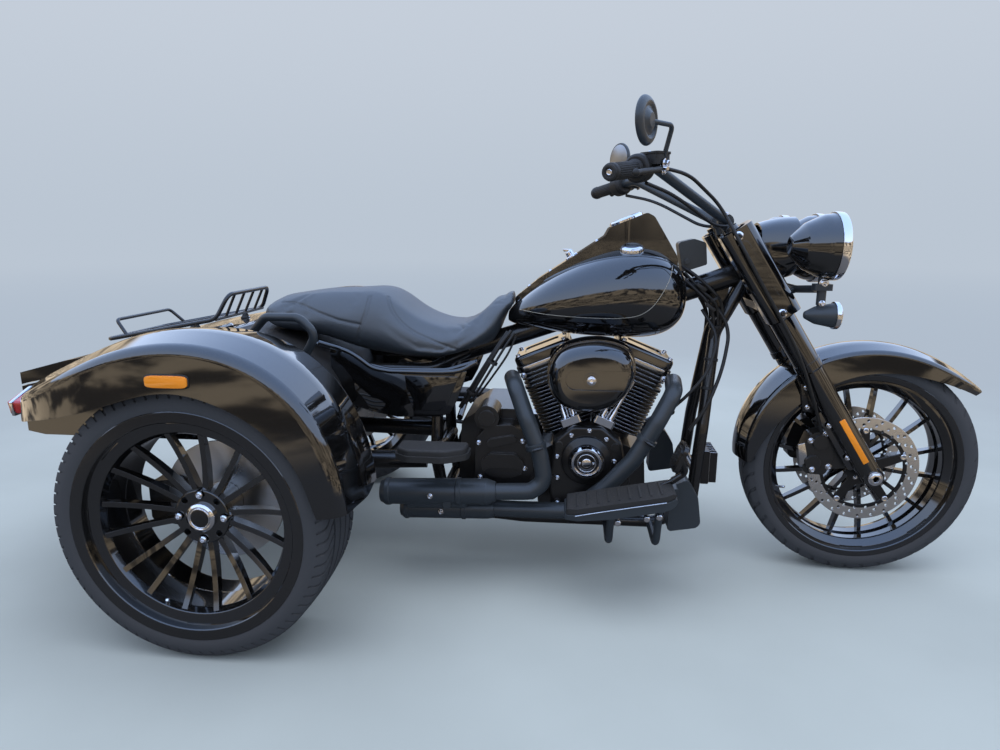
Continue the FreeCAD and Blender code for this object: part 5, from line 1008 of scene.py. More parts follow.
def fork_fittings():
    """The axle's nuts, the calipers' bolts and blank plates, and the stays of the mudguard."""
    bm = bmesh.new()
    low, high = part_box("front_axle")
    for side in (-1, 1):
        out = outward(side)
        end = Vector((FRONT_AXLE.x * MM, high.y if side > 0 else low.y, FRONT_AXLE.z * MM))
        add_turned(bm, [(-4, 9), (-4, 17), (3, 17), (4.5, 14.5), (4.5, 9)], end, out, 0, 6, True)
        for x, z in CALIPER_BOLTS:
            bolt_on(bm, "front_calipers", at(FRONT_AXLE.x + x, side * 200, z), -out, 6.5, 6, out)
        x, z = CALIPER_PLATE_MIDDLE
        spot = touch("front_calipers", at(FRONT_AXLE.x + x, side * 200, z), -out)[0]
        add_plate(bm, [Vector(((FRONT_AXLE.x + x) * MM, spot.y - side * MM, z * MM))
                       for x, z in CALIPER_PLATE], out * 3 * MM, 2, 0.6)
        for lift in LEG_BOLTS:
            leg = fork_point(FRONT_AXLE.z + lift, side) + Vector((-28, side * 60, -12))
            bolt_on(bm, "fork", leg * MM, -out, 6, 5, out)
        leg = fork_point(STAY_Z, side)
        add_plate(bm, [at(leg.x + a, side * STAY_Y, leg.z + b) for a, b in STAY],
                  at(0, side * STAY_THICK, 0), 1, 1.5)
        for a, b in STAY_BOLTS:
            add_bolt(bm, at(leg.x + a, side * (STAY_Y + STAY_THICK), leg.z + b), out, 5.5, 4)
    add_piece("fork_fittings", bm, ["chrome", "frame_black", "polished_metal"], "steering")


class TRIKE_OT_wheels(bpy.types.Operator):
    """Model the hub caps' faces, valves, rim flanges, disc fixings, axle nuts and fork fittings"""

    bl_idname = "trike.wheels"
    bl_label = "Wheels"

    def execute(self, context):
        for word, side in SIDES:
            rear_wheel_fittings(word, side)
        front_wheel_fittings()
        fork_fittings()
        return {"FINISHED"}


# Lamps


# Lamps as the place of the rim, its radius and how far its ring reaches back
HEADLAMPS = ((862.0, 0.0, 930.0, 92.0, 22.0), (832.0, -215.0, 940.0, 82.0, 20.0),
             (832.0, 215.0, 940.0, 82.0, 20.0))
SIGNAL_PLACE = (848.0, 215.0, 770.0)
SIGNAL_RIM = ((-14, 30), (-14, 34), (-12, 34.4), (-4, 34.4), (-1.5, 32.5), (-1, 29.5), (-5, 29))
SIGNAL_LENS = ((7, 0), (6, 14), (2, 24), (-3, 29.4), (-4.5, 29), (-4.5, 0))
# Bolts of the lamp's foot and of the signal's stalk, as X, Z and radius
SIGNAL_BOLTS = ((802, 850, 8.5), (802, 800, 6.0))
# Reflector strip down the lower fork leg, as the heights of its ends
LEG_STRIP = (362, 480)
LEG_R = 30.4
SIDE_MARKER = (-643, 900, 668)
TAIL_X = -1170
# Corners of the tail lamp's lens as Y and Z, and the way each moves when the lens grows
TAIL_LENS = ((418, 528, -1, -1), (500, 528, 1, -1), (506, 560, 1, 0), (440, 582, 0, 1), (418, 580, -1, 1))


def build_lamp(bm, x, y, z, r, ring):
    """Rim, bowl, bulb shield and glass of one lamp."""
    place = at(x, y, z)
    add_turned(bm, [(-ring, r - 3), (-ring, r + 0.8), (2 - ring, r + 1.3), (-4, r + 1.3), (0, r - 0.5),
                    (2, r - 4), (1, r - 8), (-7.5, r - 9.8), (-9, r - 9.8), (-9, r - 6)],
               place, FORWARD, 0, 72, True)
    add_turned(bm, [(-7.4, 0), (-7.4, 13), (-7.0, r * 0.4), (-6.0, r * 0.7), (-3.8, r - 11), (-4.6, r - 10.6),
                    (-7.9, r - 11), (-7.9, 0)], place, FORWARD, 1, 72)
    add_turned(bm, [(-7.3, 0), (-7.3, 13), (-4.5, 12), (-3.5, 9), (-3.5, 0)], place, FORWARD, 1, 24)
    add_turned(bm, [(4, 0), (3.4, r * 0.35), (1.5, r * 0.7), (-2.5, r - 10.5), (-4.2, r - 10.5),
                    (-0.4, r * 0.7), (1.6, r * 0.35), (2.2, 0)], place, FORWARD, 2, 72)


class TRIKE_OT_lamps(bpy.types.Operator):
    """Model the lamps' rims, bowls and lenses, the turn signals, markers and reflectors"""

    bl_idname = "trike.lamps"
    bl_label = "Lamps"

    def execute(self, context):
        bm = bmesh.new()
        for lamp in HEADLAMPS:
            build_lamp(bm, *lamp)
        add_piece("headlamps", bm, ["chrome", "polished_metal", "lamp_clear"], "steering")
        bm = bmesh.new()
        for side in (-1, 1):
            x, y, z = SIGNAL_PLACE
            add_turned(bm, SIGNAL_RIM, at(x, side * y, z), FORWARD, 0, 48, True)
            add_turned(bm, SIGNAL_LENS, at(x, side * y, z), FORWARD, 1, 48)
            for x, z, r in SIGNAL_BOLTS:
                add_bolt(bm, at(x, side * (y + 10), z), outward(side), r, 7)
            low, high = ((fork_point(z, side) + Vector((0, side * LEG_R, 0))) * MM for z in LEG_STRIP)
            across = FORK_WAY.cross(LEFT) * (8 * MM)
            add_plate(bm, [low - across, high - across, high + across, low + across], outward(side * 4 * MM),
                      2, 1.4)
        add_piece("turn_signals", bm, ["chrome", "lens_orange", "lamp_amber"], "steering")
        bm = bmesh.new()
        for word, side in SIDES:
            x, y, z = SIDE_MARKER
            spot, normal = touch("rear_fender_" + word, at(x, side * y, z), -outward(side))
            along = flattened(FORWARD, normal)
            add_pads(bm, spot, normal, along, normal.cross(along), 5.0, 56,
                     ((49, 16, 4, 3, 1.5), (46, 13, 8, 1, 3.0)))
            # bezel and lens of the tail lamp
            for index, grow, thick in ((0, 4.0, 9.0), (2, 0.0, 15.0)):
                add_plate(bm, [at(TAIL_X, side * (y + grow * a), z + grow * b) for y, z, a, b in TAIL_LENS],
                          at(-thick, 0, 0), index, 2.0)
        add_piece("rear_markers", bm, ["chrome", "lamp_amber", "lamp_red", "moulded_black"], "chassis")
        return {"FINISHED"}


# Bars: mirrors, grips and fittings


GRIP_MID = (372.0, 245.0, 1128.0)
GRIP_END = (262.0, 432.0, 1100.0)
GRIP_FLUTES = 24
GRIP_FLUTE_R, GRIP_R = 17.6, 19.0
GRIP_START, GRIP_LENGTH = 106, 94
# Places on the master cylinder, as distances back along the bar, forward and up
CLAMP_BOLTS = ((171, 46, -9), (171, 46, 9))
HOSE_BOLT = (150, 58, 12)
HOSE_END = (150, 44, 2)
LID_MIDDLE = (159, 30, 35)
LID_SCREW_REACH = 19
MIRROR_PLACE = (330.0, 412.0, 1208.0)
MIRROR_TURN = math.radians(22.0)
QUARTER = math.radians(90)
LID_SLANT = math.radians(-40)
CLAMP_TOP_Z = 978
RISER_BOLTS = ((593, 33, 1019), (593, 57, 1019))
# Heights of the screws of the fork covers
COVER_SCREWS = (766.0, 963.0)
COVER_OUT = 44


def grip_axis(side):
    """End of a grip and the way out along the bar there."""
    mid, end = (Vector((x, side * y, z)) for x, y, z in (GRIP_MID, GRIP_END))
    return end * MM, (end - mid).normalized()


def add_mirror_glass(glass, side):
    """The glass of one mirror, turned to its place."""
    x, y, z = MIRROR_PLACE
    turn = (Matrix.Translation(at(x, side * y, z)) @ Matrix.Rotation(side * MIRROR_TURN, 4, "Z")
            @ Matrix.Rotation(QUARTER, 4, "Y") @ Matrix.Rotation(QUARTER, 4, "Z"))
    part = bmesh.new()
    add_plate(part, oval(at(0, 0, -0.5), FORWARD, LEFT, 64, 46.5, 2, 56), at(0, 0, -1.6), 0, 0.5)
    absorb(glass, part, 0, turn)


def add_grip(grips, end, way):
    """A fluted grip with its end cap and the screw in it."""
    side_way = square_to(way)
    other = way.cross(side_way)
    section = []
    for k in range(3 * GRIP_FLUTES):
        turn = 2 * math.pi * k / (3 * GRIP_FLUTES)
        r = (GRIP_FLUTE_R if k % 3 == 0 else GRIP_R) * MM
        section.append(end - way * GRIP_START * MM + side_way * (math.cos(turn) * r)
                       + other * (math.sin(turn) * r))
    add_plate(grips, section, way * GRIP_LENGTH * MM, 0, 0.2)
    add_turned(grips, [(5, 0), (5, 17), (11, 17.6), (13, 15), (13, 11), (10, 9), (10, 0)], end, way, 0, 32)
    add_turned(grips, [(9, 0), (9, 7), (11, 7), (12, 5.5), (10.6, 4), (10.6, 0)], end, way, 1, 24)


def add_bar_bolts(bolts, end, way, side):
    """Clamp bolts, hose union and lid screws at the master cylinder, and the bolts and screws of the fork."""
    front = flattened(FORWARD, way)

    def on_bar(back, ahead, lift):
        return end - way * back * MM + front * ahead * MM + at(0, 0, lift)

    for place in CLAMP_BOLTS:
        add_bolt(bolts, on_bar(*place), front, 5.0, 6)
    add_bolt(bolts, on_bar(*HOSE_BOLT), front, 8, 10, 0, 6)
    add_turned(bolts, [(0, 0), (0, 8), (9, 8), (9, 6), (26, 5), (26, 0)], on_bar(*HOSE_END),
               front + at(0, side * 400, -100), 0, 20)
    slant = side * LID_SLANT
    across = Vector((math.cos(slant), math.sin(slant), 0)) * LID_SCREW_REACH * MM
    for k in (-1, 1):
        add_bolt(bolts, on_bar(*LID_MIDDLE) + across * k, UPWARD, 3.0, 2.2)
    add_bolt(bolts, fork_point(CLAMP_TOP_Z, side) * MM, FORK_WAY, 12, 8, 0, 6)
    for x, y, z in RISER_BOLTS:
        add_bolt(bolts, at(x, side * y, z), UPWARD, 4.5, 6)
    for z in COVER_SCREWS:
        place = (fork_point(z, side) + Vector((0, side * COVER_OUT, 0))) * MM
        add_turned(bolts, [(-2, 0), (-2, 12), (0.5, 12), (1.5, 10.5), (1.5, 0)], place, outward(side), 0, 32)
        add_bolt(bolts, place + at(0, side, 0), outward(side), 5.5, 5, 1)


class TRIKE_OT_bars(bpy.types.Operator):
    """Model the mirrors' glass, the fluted grips and the bolts and fittings on the bars"""

    bl_idname = "trike.bars"
    bl_label = "Bars"

    def execute(self, context):
        glass, grips, bolts = bmesh.new(), bmesh.new(), bmesh.new()
        for side in (-1, 1):
            end, way = grip_axis(side)
            add_mirror_glass(glass, side)
            add_grip(grips, end, way)
            add_bar_bolts(bolts, end, way, side)
        add_piece("mirror_faces", glass, ["mirror_glass"], "steering")
        add_piece("grip_rubbers", grips, ["board_rubber", "chrome"], "steering")
        add_piece("bar_bolts", bolts, ["chrome", "frame_black"], "steering")
        return {"FINISHED"}


# Tank and console


# Middles of the tank's section at its rear end and further on, and the way up its shoulder
TANK_REAR_END, TANK_REAR_Z, TANK_MIDDLE_Z = 60, 745, 800
SHOULDER_RISE = 0.95
TANK_STRIPE = ((40, 758), (154, 748), (314, 746), (386, 768), (434, 836), (452, 884))
DIAL_PLACE = (333.0, 0.0, 1001.0)
DIAL_WAY = Vector((-0.372, 0.0, 0.928)).normalized()
DIAL_MARKS = 33
NEEDLE_TURN = math.radians(225)
DIAL_SWEEP = math.radians(270)
CAP_PLACE = (345.0, -74.0, 912.0)
CAP_WAY = Vector((-0.05, -0.25, 1.0)).normalized()
CAP_PROFILE = ((2, 29), (2, 31), (6, 31.5), (18, 31.5), (22.5, 29), (26, 22), (28, 12), (28.4, 0), (20, 0),
               (20, 29))
CAP_RIBS = 24
KNOB_X = 181
SPINE_SCREWS = (60, 120, 250)


def dial_way(turn):
    """A way across the dial's face at an angle."""
    east = LEFT.cross(DIAL_WAY).normalized()
    return RIGHT * math.cos(turn) + east * -math.sin(turn)


def speed_dial():
    """The dial's rim, face, marks, needle, hub and glass."""
    dial = at(*DIAL_PLACE)
    bm = bmesh.new()
    add_turned(bm, [(0, 46), (0.5, 48), (8, 48), (11.8, 43.6), (10.8, 39.4), (5, 37.4), (4, 40)],
               dial, DIAL_WAY, 0, 80, True)
    add_turned(bm, [(3.6, 0), (3.6, 38), (4.4, 38), (4.4, 0)], dial, DIAL_WAY, 1, 64)
    face = dial + DIAL_WAY * 4.4 * MM
    for k in range(DIAL_MARKS):
        way = dial_way(NEEDLE_TURN - DIAL_SWEEP * k / (DIAL_MARKS - 1))
        inner, wide = (27.0, 0.75) if k % 4 == 0 else (31.0, 0.4)
        across = way.cross(DIAL_WAY) * (wide * MM)
        a = face + way * inner * MM
        b = face + way * 35.5 * MM
        add_plate(bm, [a - across, b - across, b + across, a + across], DIAL_WAY * 0.3 * MM, 2, 0.05)
    needle = dial_way(NEEDLE_TURN)
    across = needle.cross(DIAL_WAY) * 1.4 * MM
    hub = dial + DIAL_WAY * 5.4 * MM
    add_plate(bm, [hub - across, hub + needle * 30 * MM, hub + across], DIAL_WAY * 0.5 * MM, 3, 0.05)
    add_turned(bm, [(4.4, 0), (4.4, 5), (6.4, 4), (6.4, 0)], dial, DIAL_WAY, 4, 24)
    add_turned(bm, [(9.6, 0), (9.0, 25), (8.0, 39), (7.2, 39), (8.2, 25), (8.8, 0)], dial, DIAL_WAY, 5, 64)
    add_piece("speed_dial", bm, ["chrome", "dial_black", "dial_white", "lens_orange", "moulded_black",
                                 "lamp_clear"], "chassis")


def console_fittings():
    """The ribbed filler cap, the ignition knob on its round seat and the screws down the spine."""
    bm = bmesh.new()
    cap = at(*CAP_PLACE)
    add_turned(bm, CAP_PROFILE, cap, CAP_WAY, 0, 72)
    side = square_to(CAP_WAY)
    for k in range(CAP_RIBS):
        turn = 2 * math.pi * k / CAP_RIBS
        rib = cap + (side * math.cos(turn) + CAP_WAY.cross(side) * math.sin(turn)) * 31.2 * MM
        add_sweep(bm, [rib + CAP_WAY * 7 * MM, rib + CAP_WAY * 17.5 * MM], 1.1 * MM, 0, 6, 1)
    spot, normal = touch("tank_console", at(KNOB_X, 0, 1200), -UPWARD)
    add_turned(bm, [(-2, 0), (-2, 19), (2, 19), (4, 16), (4, 12), (16, 11), (18, 9), (18, 0)],
               spot, normal, 0, 40)
    add_plate(bm, [spot + normal * 17 * MM + FORWARD * (a * MM) + LEFT * (b * MM)
                   for a, b in ((-13, -3), (13, -3), (13, 3), (-13, 3))], normal * 9 * MM, 0, 1.2)
    for x in SPINE_SCREWS:
        bolt_on(bm, "tank_console", at(x, 0, 1200), -UPWARD, 4.2, 3)
    add_piece("console_fittings", bm, ["chrome"], "chassis")


class TRIKE_OT_console(bpy.types.Operator):
    """Model the dial with its glass and needle, the filler cap, the ignition knob and the tank's trim"""

    bl_idname = "trike.console"
    bl_label = "Console"

    def execute(self, context):
        speed_dial()
        console_fittings()
        stripes, seams = bmesh.new(), bmesh.new()
        for side in (-1, 1):
            # pinstripe round the plain side of the tank
            points = []
            for spot in smooth_path([at(x, 0, z) for x, z in TANK_STRIPE], 8):
                hit, normal = touch("fuel_tank", Vector((spot.x, side * 0.6, spot.z)), -outward(side))
                points.append(hit - normal * 0.35 * MM)
            add_sweep(stripes, points, 1.0 * MM, 0, 8, 1)
            # rolled seam along the tank's shoulder
            points = []
            way = Vector((0, side, SHOULDER_RISE)).normalized()
            for x in range(30, 465, 31):
                middle = at(x, 0, TANK_MIDDLE_Z if x > TANK_REAR_END else TANK_REAR_Z)
                hit, normal = touch("fuel_tank", middle + way * 0.5, -way)
                points.append(hit - normal * 0.8 * MM)
            add_sweep(seams, points, 5.0 * MM, 0, 12, 3, 0.5)
        add_piece("tank_stripes", stripes, ["stripe_grey"], "chassis")
        add_piece("tank_seams", seams, ["gloss_black"], "chassis")
        return {"FINISHED"}


# Engine and exhaust


CRANK = at(250.0, 0.0, 285.0)
V_HALF = math.radians(22.5)
ROCKER_START = 345.0
# Bands round the rocker box, as low end, high end, growth and material
ROCKER_BANDS = ((1.5, 14.5, 0.8, 0), (-1.0, 1.5, 0.4, 1), (14.5, 16.5, 0.4, 1))
ROCKER_HALF_X, ROCKER_HALF_Y = 88, 82
# Bolts of the rocker box's lid and of the head, as distances across, sideways and over the box's foot
LID_BOLT = (70, 62, 45)
HEAD_BOLT = (74, 84, -9)
CAM_CENTRE = (236.0, -205.0, 352.0)
CAM_BOLTS = ((193, 421), (242, 436), (289, 413), (155, 359), (157, 299), (312, 351), (158, 224), (312, 220))
GEARBOX_FACE_Y = -203
GEARBOX_BOLTS = ((-58, 300), (-62, 400), (66, 330), (60, 408), (40, 274), (-30, 270))
AIR_CLEANER_BOLT = (240, -269, 598)
PRIMARY_OUTLINE = ((360, 214), (372, 300), (330, 388), (230, 402), (90, 399), (-60, 396), (-150, 372),
                   (-176, 300), (-150, 228), (-60, 196), (120, 189), (300, 182))
PRIMARY_MIDDLE = Vector((98, 0, 296))
PRIMARY_BOLT_INSET = 20
# Round covers of the primary drive, as place and radius
PRIMARY_COVERS = ((-60, 206, 300, 62), (270, 203, 290, 40))
# Silencers as start, end, radius and length, and pipe clamps as place and way
SILENCERS = (((-10, -246, 276), (-340, -246, 264), 36.0, 318.0),
             ((-20, -196, 206), (-340, -196, 196), 30.0, 266.0))
HANGER_FOOT = (-184, -150, 250)
PIPE_CLAMPS = (((98, -233, 407), (-4, -1, 14)), ((392, -217, 430), (7, 0, 12)))
HORN_X, HORN_Z = 250, 560


def rocker_trim(bands, bolts, sign):
    """Machined band and gasket lines at the foot of a rocker box, with the bolts of its lid and head."""
    up = Vector((math.sin(V_HALF * sign), 0, math.cos(V_HALF * sign)))
    across = Vector((up.z, 0, -up.x))
    for low, high, grow, index in ROCKER_BANDS:
        base = CRANK + up * ((ROCKER_START + low) * MM)
        add_plate(bands, oval(base, across, LEFT, ROCKER_HALF_X + grow, ROCKER_HALF_Y + grow, 9.0, 64),
                  up * ((high - low) * MM), index, 0.8)

    def on_box(a, b, bolt):
        x, y, z = bolt
        return CRANK + across * (a * x * MM) + LEFT * (b * y * MM) + up * ((ROCKER_START + z) * MM)

    for a in (-1, 1):
        for b in (-1, 1):
            add_bolt(bolts, on_box(a, b, LID_BOLT), up, 7, 7)
            add_bolt(bolts, on_box(a, b, HEAD_BOLT), LEFT * b, 6, 6, 0, 6)


class TRIKE_OT_engine(bpy.types.Operator):
    """Model the bright bands, rings and bolts of the engine, gearbox and primary drive"""

    bl_idname = "trike.engine"
    bl_label = "Engine"

    def execute(self, context):
        bands, bolts, rings = bmesh.new(), bmesh.new(), bmesh.new()
        for sign in (-1, 1):
            rocker_trim(bands, bolts, sign)
        add_piece("rocker_bands", bands, ["polished_metal", "moulded_black"], "chassis")
        centre = at(*CAM_CENTRE)
        add_turned(rings, [(-14, 48.5), (-6, 46.9), (0.6, 40.6), (0.6, 34.6), (-5, 31.6), (-8, 34), (-8, 44)],
                   centre, RIGHT, 0, 80, True)
        add_turned(rings, [(-7, 27.8), (-0.4, 25.8), (-0.4, 23.4), (-3, 22.6), (-7, 24)],
                   centre, RIGHT, 0, 64, True)
        add_turned(rings, [(-3, 0), (-3, 13), (-1.2, 13), (0, 11), (0, 0)], centre, RIGHT, 0, 40)
        for k in (-1, 1):
            add_bolt(bolts, centre + at(k * 18.5, 1.5, 0), RIGHT, 2.6, 2.5)
        for x, z in CAM_BOLTS:
            bolt_on(bolts, "cam_cover", at(x, -400, z), LEFT, 5.2, 5.5, RIGHT)
        for x, z in GEARBOX_BOLTS:
            add_bolt(bolts, at(x, GEARBOX_FACE_Y, z), RIGHT, 5.5, 5)
        add_bolt(bolts, at(*AIR_CLEANER_BOLT), RIGHT, 9, 5)
        for x, y, z, r in PRIMARY_COVERS:
            place = at(x, y, z)
            add_turned(rings, [(-5, r - 3), (-5, r + 0.6), (-1, r + 0.6), (1.4, r - 2.5), (1.4, r - 8),
                               (-1, r - 9)], place, LEFT, 0, 72, True)
            for k in range(5):
                add_bolt(bolts, place + around(math.radians(72 * k + 90), r - 15), LEFT, 4.2, 4)
        for x, z in PRIMARY_OUTLINE:
            spot = Vector((x, 0, z))
            spot += (PRIMARY_MIDDLE - spot).normalized() * PRIMARY_BOLT_INSET
            bolt_on(bolts, "primary_cover", at(spot.x, 400, spot.z), RIGHT, 5, 5, LEFT)
        add_piece("engine_rings", rings, ["chrome"], "chassis")
        add_piece("engine_bolts", bolts, ["chrome"], "chassis")
        return {"FINISHED"}


class TRIKE_OT_exhaust(bpy.types.Operator):
    """Model the silencers' tips, the hangers and the clamps' bolts, and the horn's bracket"""

    bl_idname = "trike.exhaust"
    bl_label = "Exhaust"

    def execute(self, context):
        bm = bmesh.new()
        for start, end, r, length in SILENCERS:
            a = at(*start)
            way = (at(*end) - a).normalized()
            add_turned(bm, [(-6, r - 9), (-6, r - 5.4), (1, r - 5.4), (2.4, r - 7.5), (2.4, r - 10.5),
                            (1, r - 12.4), (-14, r - 12.4), (-14, r - 9)], a + way * ((length - 2) * MM), way,
                       0, 56, True)
            hold = a + way * (length * 0.55 * MM)
            add_sweep(bm, [hold + at(0, 0, -r * 0.2), at(*HANGER_FOOT)], 6 * MM, 1, 8, 1)
            add_bolt(bm, hold + at(0, -r - 1.5, 0), RIGHT, 6, 6, 2)
        for place, way in PIPE_CLAMPS:
            axis = Vector(way).normalized()
            out = flattened(RIGHT, axis)
            across = axis.cross(out)
            spot = at(*place) + out * 29 * MM + across * 6 * MM
            add_turned(bm, [(-9, 0), (-9, 4.5), (9, 4.5), (9, 0)], spot, across, 1, 6)
            add_turned(bm, [(-15, 0), (-15, 2.6), (15, 2.6), (15, 0)], spot, across, 1, 16)
        add_piece("exhaust_fittings", bm, ["satin_black", "frame_black", "chrome"], "chassis")
        bm = bmesh.new()
        add_sweep(bm, [at(HORN_X, 60, HORN_Z + 6), at(HORN_X, 124, HORN_Z)], 8 * MM, 0, 12, 1)
        horn = at(HORN_X, 118, HORN_Z)
        add_turned(bm, [(34, 0), (34, 26), (36.5, 24), (38, 14), (38.4, 0)], horn, LEFT, 1, 48)
        add_turned(bm, [(8, 54), (8, 59), (12, 59), (14, 56), (14, 54)], horn, LEFT, 1, 64, True)
        add_piece("horn_fittings", bm, ["frame_black", "chrome"], "chassis")
        return {"FINISHED"}


# Wires, side panels, rear body and footboards


# Wires and hoses as a radius and places on the right; those at the neck are on both sides
REAR_WIRES = ((5.0, ((22, -142, 706), (-9, -150, 664), (-53, -152, 589), (-107, -146, 496))),
              (3.5, ((30, -146, 700), (4, -158, 660), (-38, -160, 590), (-92, -150, 500))),
              (6.5, ((12, -130, 700), (-22, -136, 650), (-72, -138, 570), (-124, -128, 480))),
              (3.0, ((34, -136, 690), (12, -148, 640), (-24, -150, 585), (-70, -142, 520))))
NECK_WIRES = ((4.5, ((488, -26, 880), (530, -42, 850), (572, -54, 812), (600, -52, 768), (592, -46, 690))),
              (3.5, ((496, -28, 862), (540, -50, 816), (580, -60, 778), (590, -54, 720), (584, -52, 670))),
              (5.5, ((470, -24, 862), (520, -40, 822), (556, -50, 786), (578, -50, 740), (578, -46, 680))))
# Ties round the wires, as place and way
WIRE_TIES = (((-31, -147, 618), (-44, 0, -77)), ((-88, -147, 530), (-40, 0, -70)),
             ((576, -54, 790), (20, -6, -40)), ((584, -51, 715), (0, 3, -40)))
WIRE_PLUGS = ((540, -60, 826), (566, -68, 772))
PANEL_OUTLINE = ((-470, 660), (-430, 651), (-392, 630), (-356, 606), (-318, 597), (-278, 597), (-128, 600),
                 (-92, 604), (-100, 572), (-120, 520), (-140, 484), (-168, 474), (-286, 470), (-360, 484),
                 (-430, 506), (-466, 560))
PANEL_FIELD = ((-262, 588), (-116, 588), (-122, 566), (-146, 512), (-168, 492), (-240, 490), (-258, 540))
PANEL_LIP = ((-500, 674), (-430, 654), (-392, 634), (-356, 609), (-318, 600), (-278, 598), (-128, 601),
             (-66, 628))
PANEL_Y, PANEL_THICK = 209.5, 5
FIELD_Y, FIELD_THICK = 214, 3
PANEL_LIP_Y = 212
# Screws along the inner edge of the mudguard, and down its front foot
FENDER_SCREWS = (-1050, -960, -860, -560, -480)
FENDER_SCREW_Y = 436
VALANCE_SCREWS = ((-600, 640), (-500, 600), (-470, 520))
# Heights of the number plate, of its screws and of its lamp, and half the distance of the screws
PLATE_Z, PLATE_SCREW_Z, PLATE_LAMP_Z = 372, 410, 446
PLATE_SCREW_Y = 72
# Places on the trunk's back, as Y and Z, and where the line that looks for it starts
REFLECTOR = (300, 515)
LOCK_Z = 510
BEHIND_X = -1700
RACK_FEET = ((-1065, 653), (-885, 689))
RACK_FOOT_Y = 148
RACK_SCREW_REACH = 10.5
LID_BUFFER = (-756, 200, 712)
BOARD_EDGE = ((206, 278.5), (260, 290.5), (340, 307), (428, 324.5))
BOARD_EDGE_Y = 392
BOARD_BOLTS = ((312, 262), (383, 276), (413, 282))
BOARD_BOLT_Y = 378
# Hinge bolts of the passenger boards
HINGE_BOLTS = ((-230, 284, 408), (-104, 284, 408))
# Ends of the lines' run down the tube, and the heights of its clips
LINE_TOP, LINE_FOOT = Vector((588, -32, 696)), Vector((560, -92, 430))
LINE_CLIPS = (620, 540)


class TRIKE_OT_wires(bpy.types.Operator):
    """Model the bunches of wires behind the side panels and at the neck, with their ties and plugs"""

    bl_idname = "trike.wires"
    bl_label = "Wires"

    def execute(self, context):
        bm = bmesh.new()
        for sides, wires in (((1,), REAR_WIRES), ((1, -1), NECK_WIRES)):
            for radius, points in wires:
                for side in sides:
                    add_sweep(bm, [at(x, side * y, z) for x, y, z in points], radius * MM, 0, 10, 8)
        for place, way in WIRE_TIES:
            add_turned(bm, [(-3.5, 15), (-3.5, 16.5), (3.5, 16.5), (3.5, 15)], at(*place),
                       Vector(way).normalized(), 1, 28, True)
        for x, y, z in WIRE_PLUGS:
            add_plate(bm, [at(x + a, y, z + b) for a, b in ((-16, 2), (10, -16), (16, -8), (-10, 10))],
                      at(0, 12, 0), 1, 1.2)
        add_piece("wire_harness", bm, ["line_black", "moulded_black"], "chassis")
        return {"FINISHED"}


class TRIKE_OT_panels(bpy.types.Operator):
    """Model the gloss panels under the seat with their rolled top edge"""

    bl_idname = "trike.panels"
    bl_label = "Side panels"

    def execute(self, context):
        bm = bmesh.new()
        for side in (-1, 1):
            add_plate(bm, [at(x, side * PANEL_Y, z) for x, z in PANEL_OUTLINE],
                      at(0, side * PANEL_THICK, 0), 0, 2.0)
            add_plate(bm, [at(x, side * FIELD_Y, z) for x, z in PANEL_FIELD],
                      at(0, side * FIELD_THICK, 0), 0, 1.4)
            add_sweep(bm, [at(x, side * PANEL_LIP_Y, z) for x, z in PANEL_LIP], 6.5 * MM, 0, 14, 5)
        add_piece("side_panels", bm, ["gloss_black"], "chassis")
        return {"FINISHED"}


def add_number_plate(bm):
    """A blank plate with its two screws and the lamp above it."""
    face = Vector((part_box("plate_bracket")[0].x, 0, 0))
    add_plate(bm, oval(face + at(-0.5, 0, PLATE_Z), LEFT, UPWARD, 89, 51, 9.0, 64), at(-1.6, 0, 0), 1, 0.5)
    for side in (-1, 1):
        add_bolt(bm, face + at(-2, side * PLATE_SCREW_Y, PLATE_SCREW_Z), -FORWARD, 3.5, 3)
    add_plate(bm, oval(face + at(4, 0, PLATE_LAMP_Z), LEFT, UPWARD, 40, 9, 5.0, 40), at(-22, 0, 0), 2, 2.0)


def add_trunk_back(bm):
    """Reflectors and the lock on the trunk's back."""
    for side in (-1, 1):
        y, z = REFLECTOR
        spot, normal = touch("trunk_body", at(BEHIND_X, side * y, z), FORWARD)
        up = flattened(UPWARD, normal)
        add_pads(bm, spot, normal, up.cross(normal), up, 6.0, 48,
                 ((46, 15, 5, 2, 1.5), (42, 11.5, 8, 3, 2.5)))
    spot, normal = touch("trunk_body", at(BEHIND_X, 0, LOCK_Z), FORWARD)
    add_turned(bm, [(-2, 0), (-2, 17), (2, 17), (4, 14), (4, 11), (3, 10), (3, 0)], spot, normal, 0, 40)
    add_plate(bm, [spot + normal * 2.6 * MM + LEFT * (a * MM) + UPWARD * (b * MM)
                   for a, b in ((-1.2, -5), (1.2, -5), (1.2, 5), (-1.2, 5))], normal * 0.8 * MM, 2, 0.1)


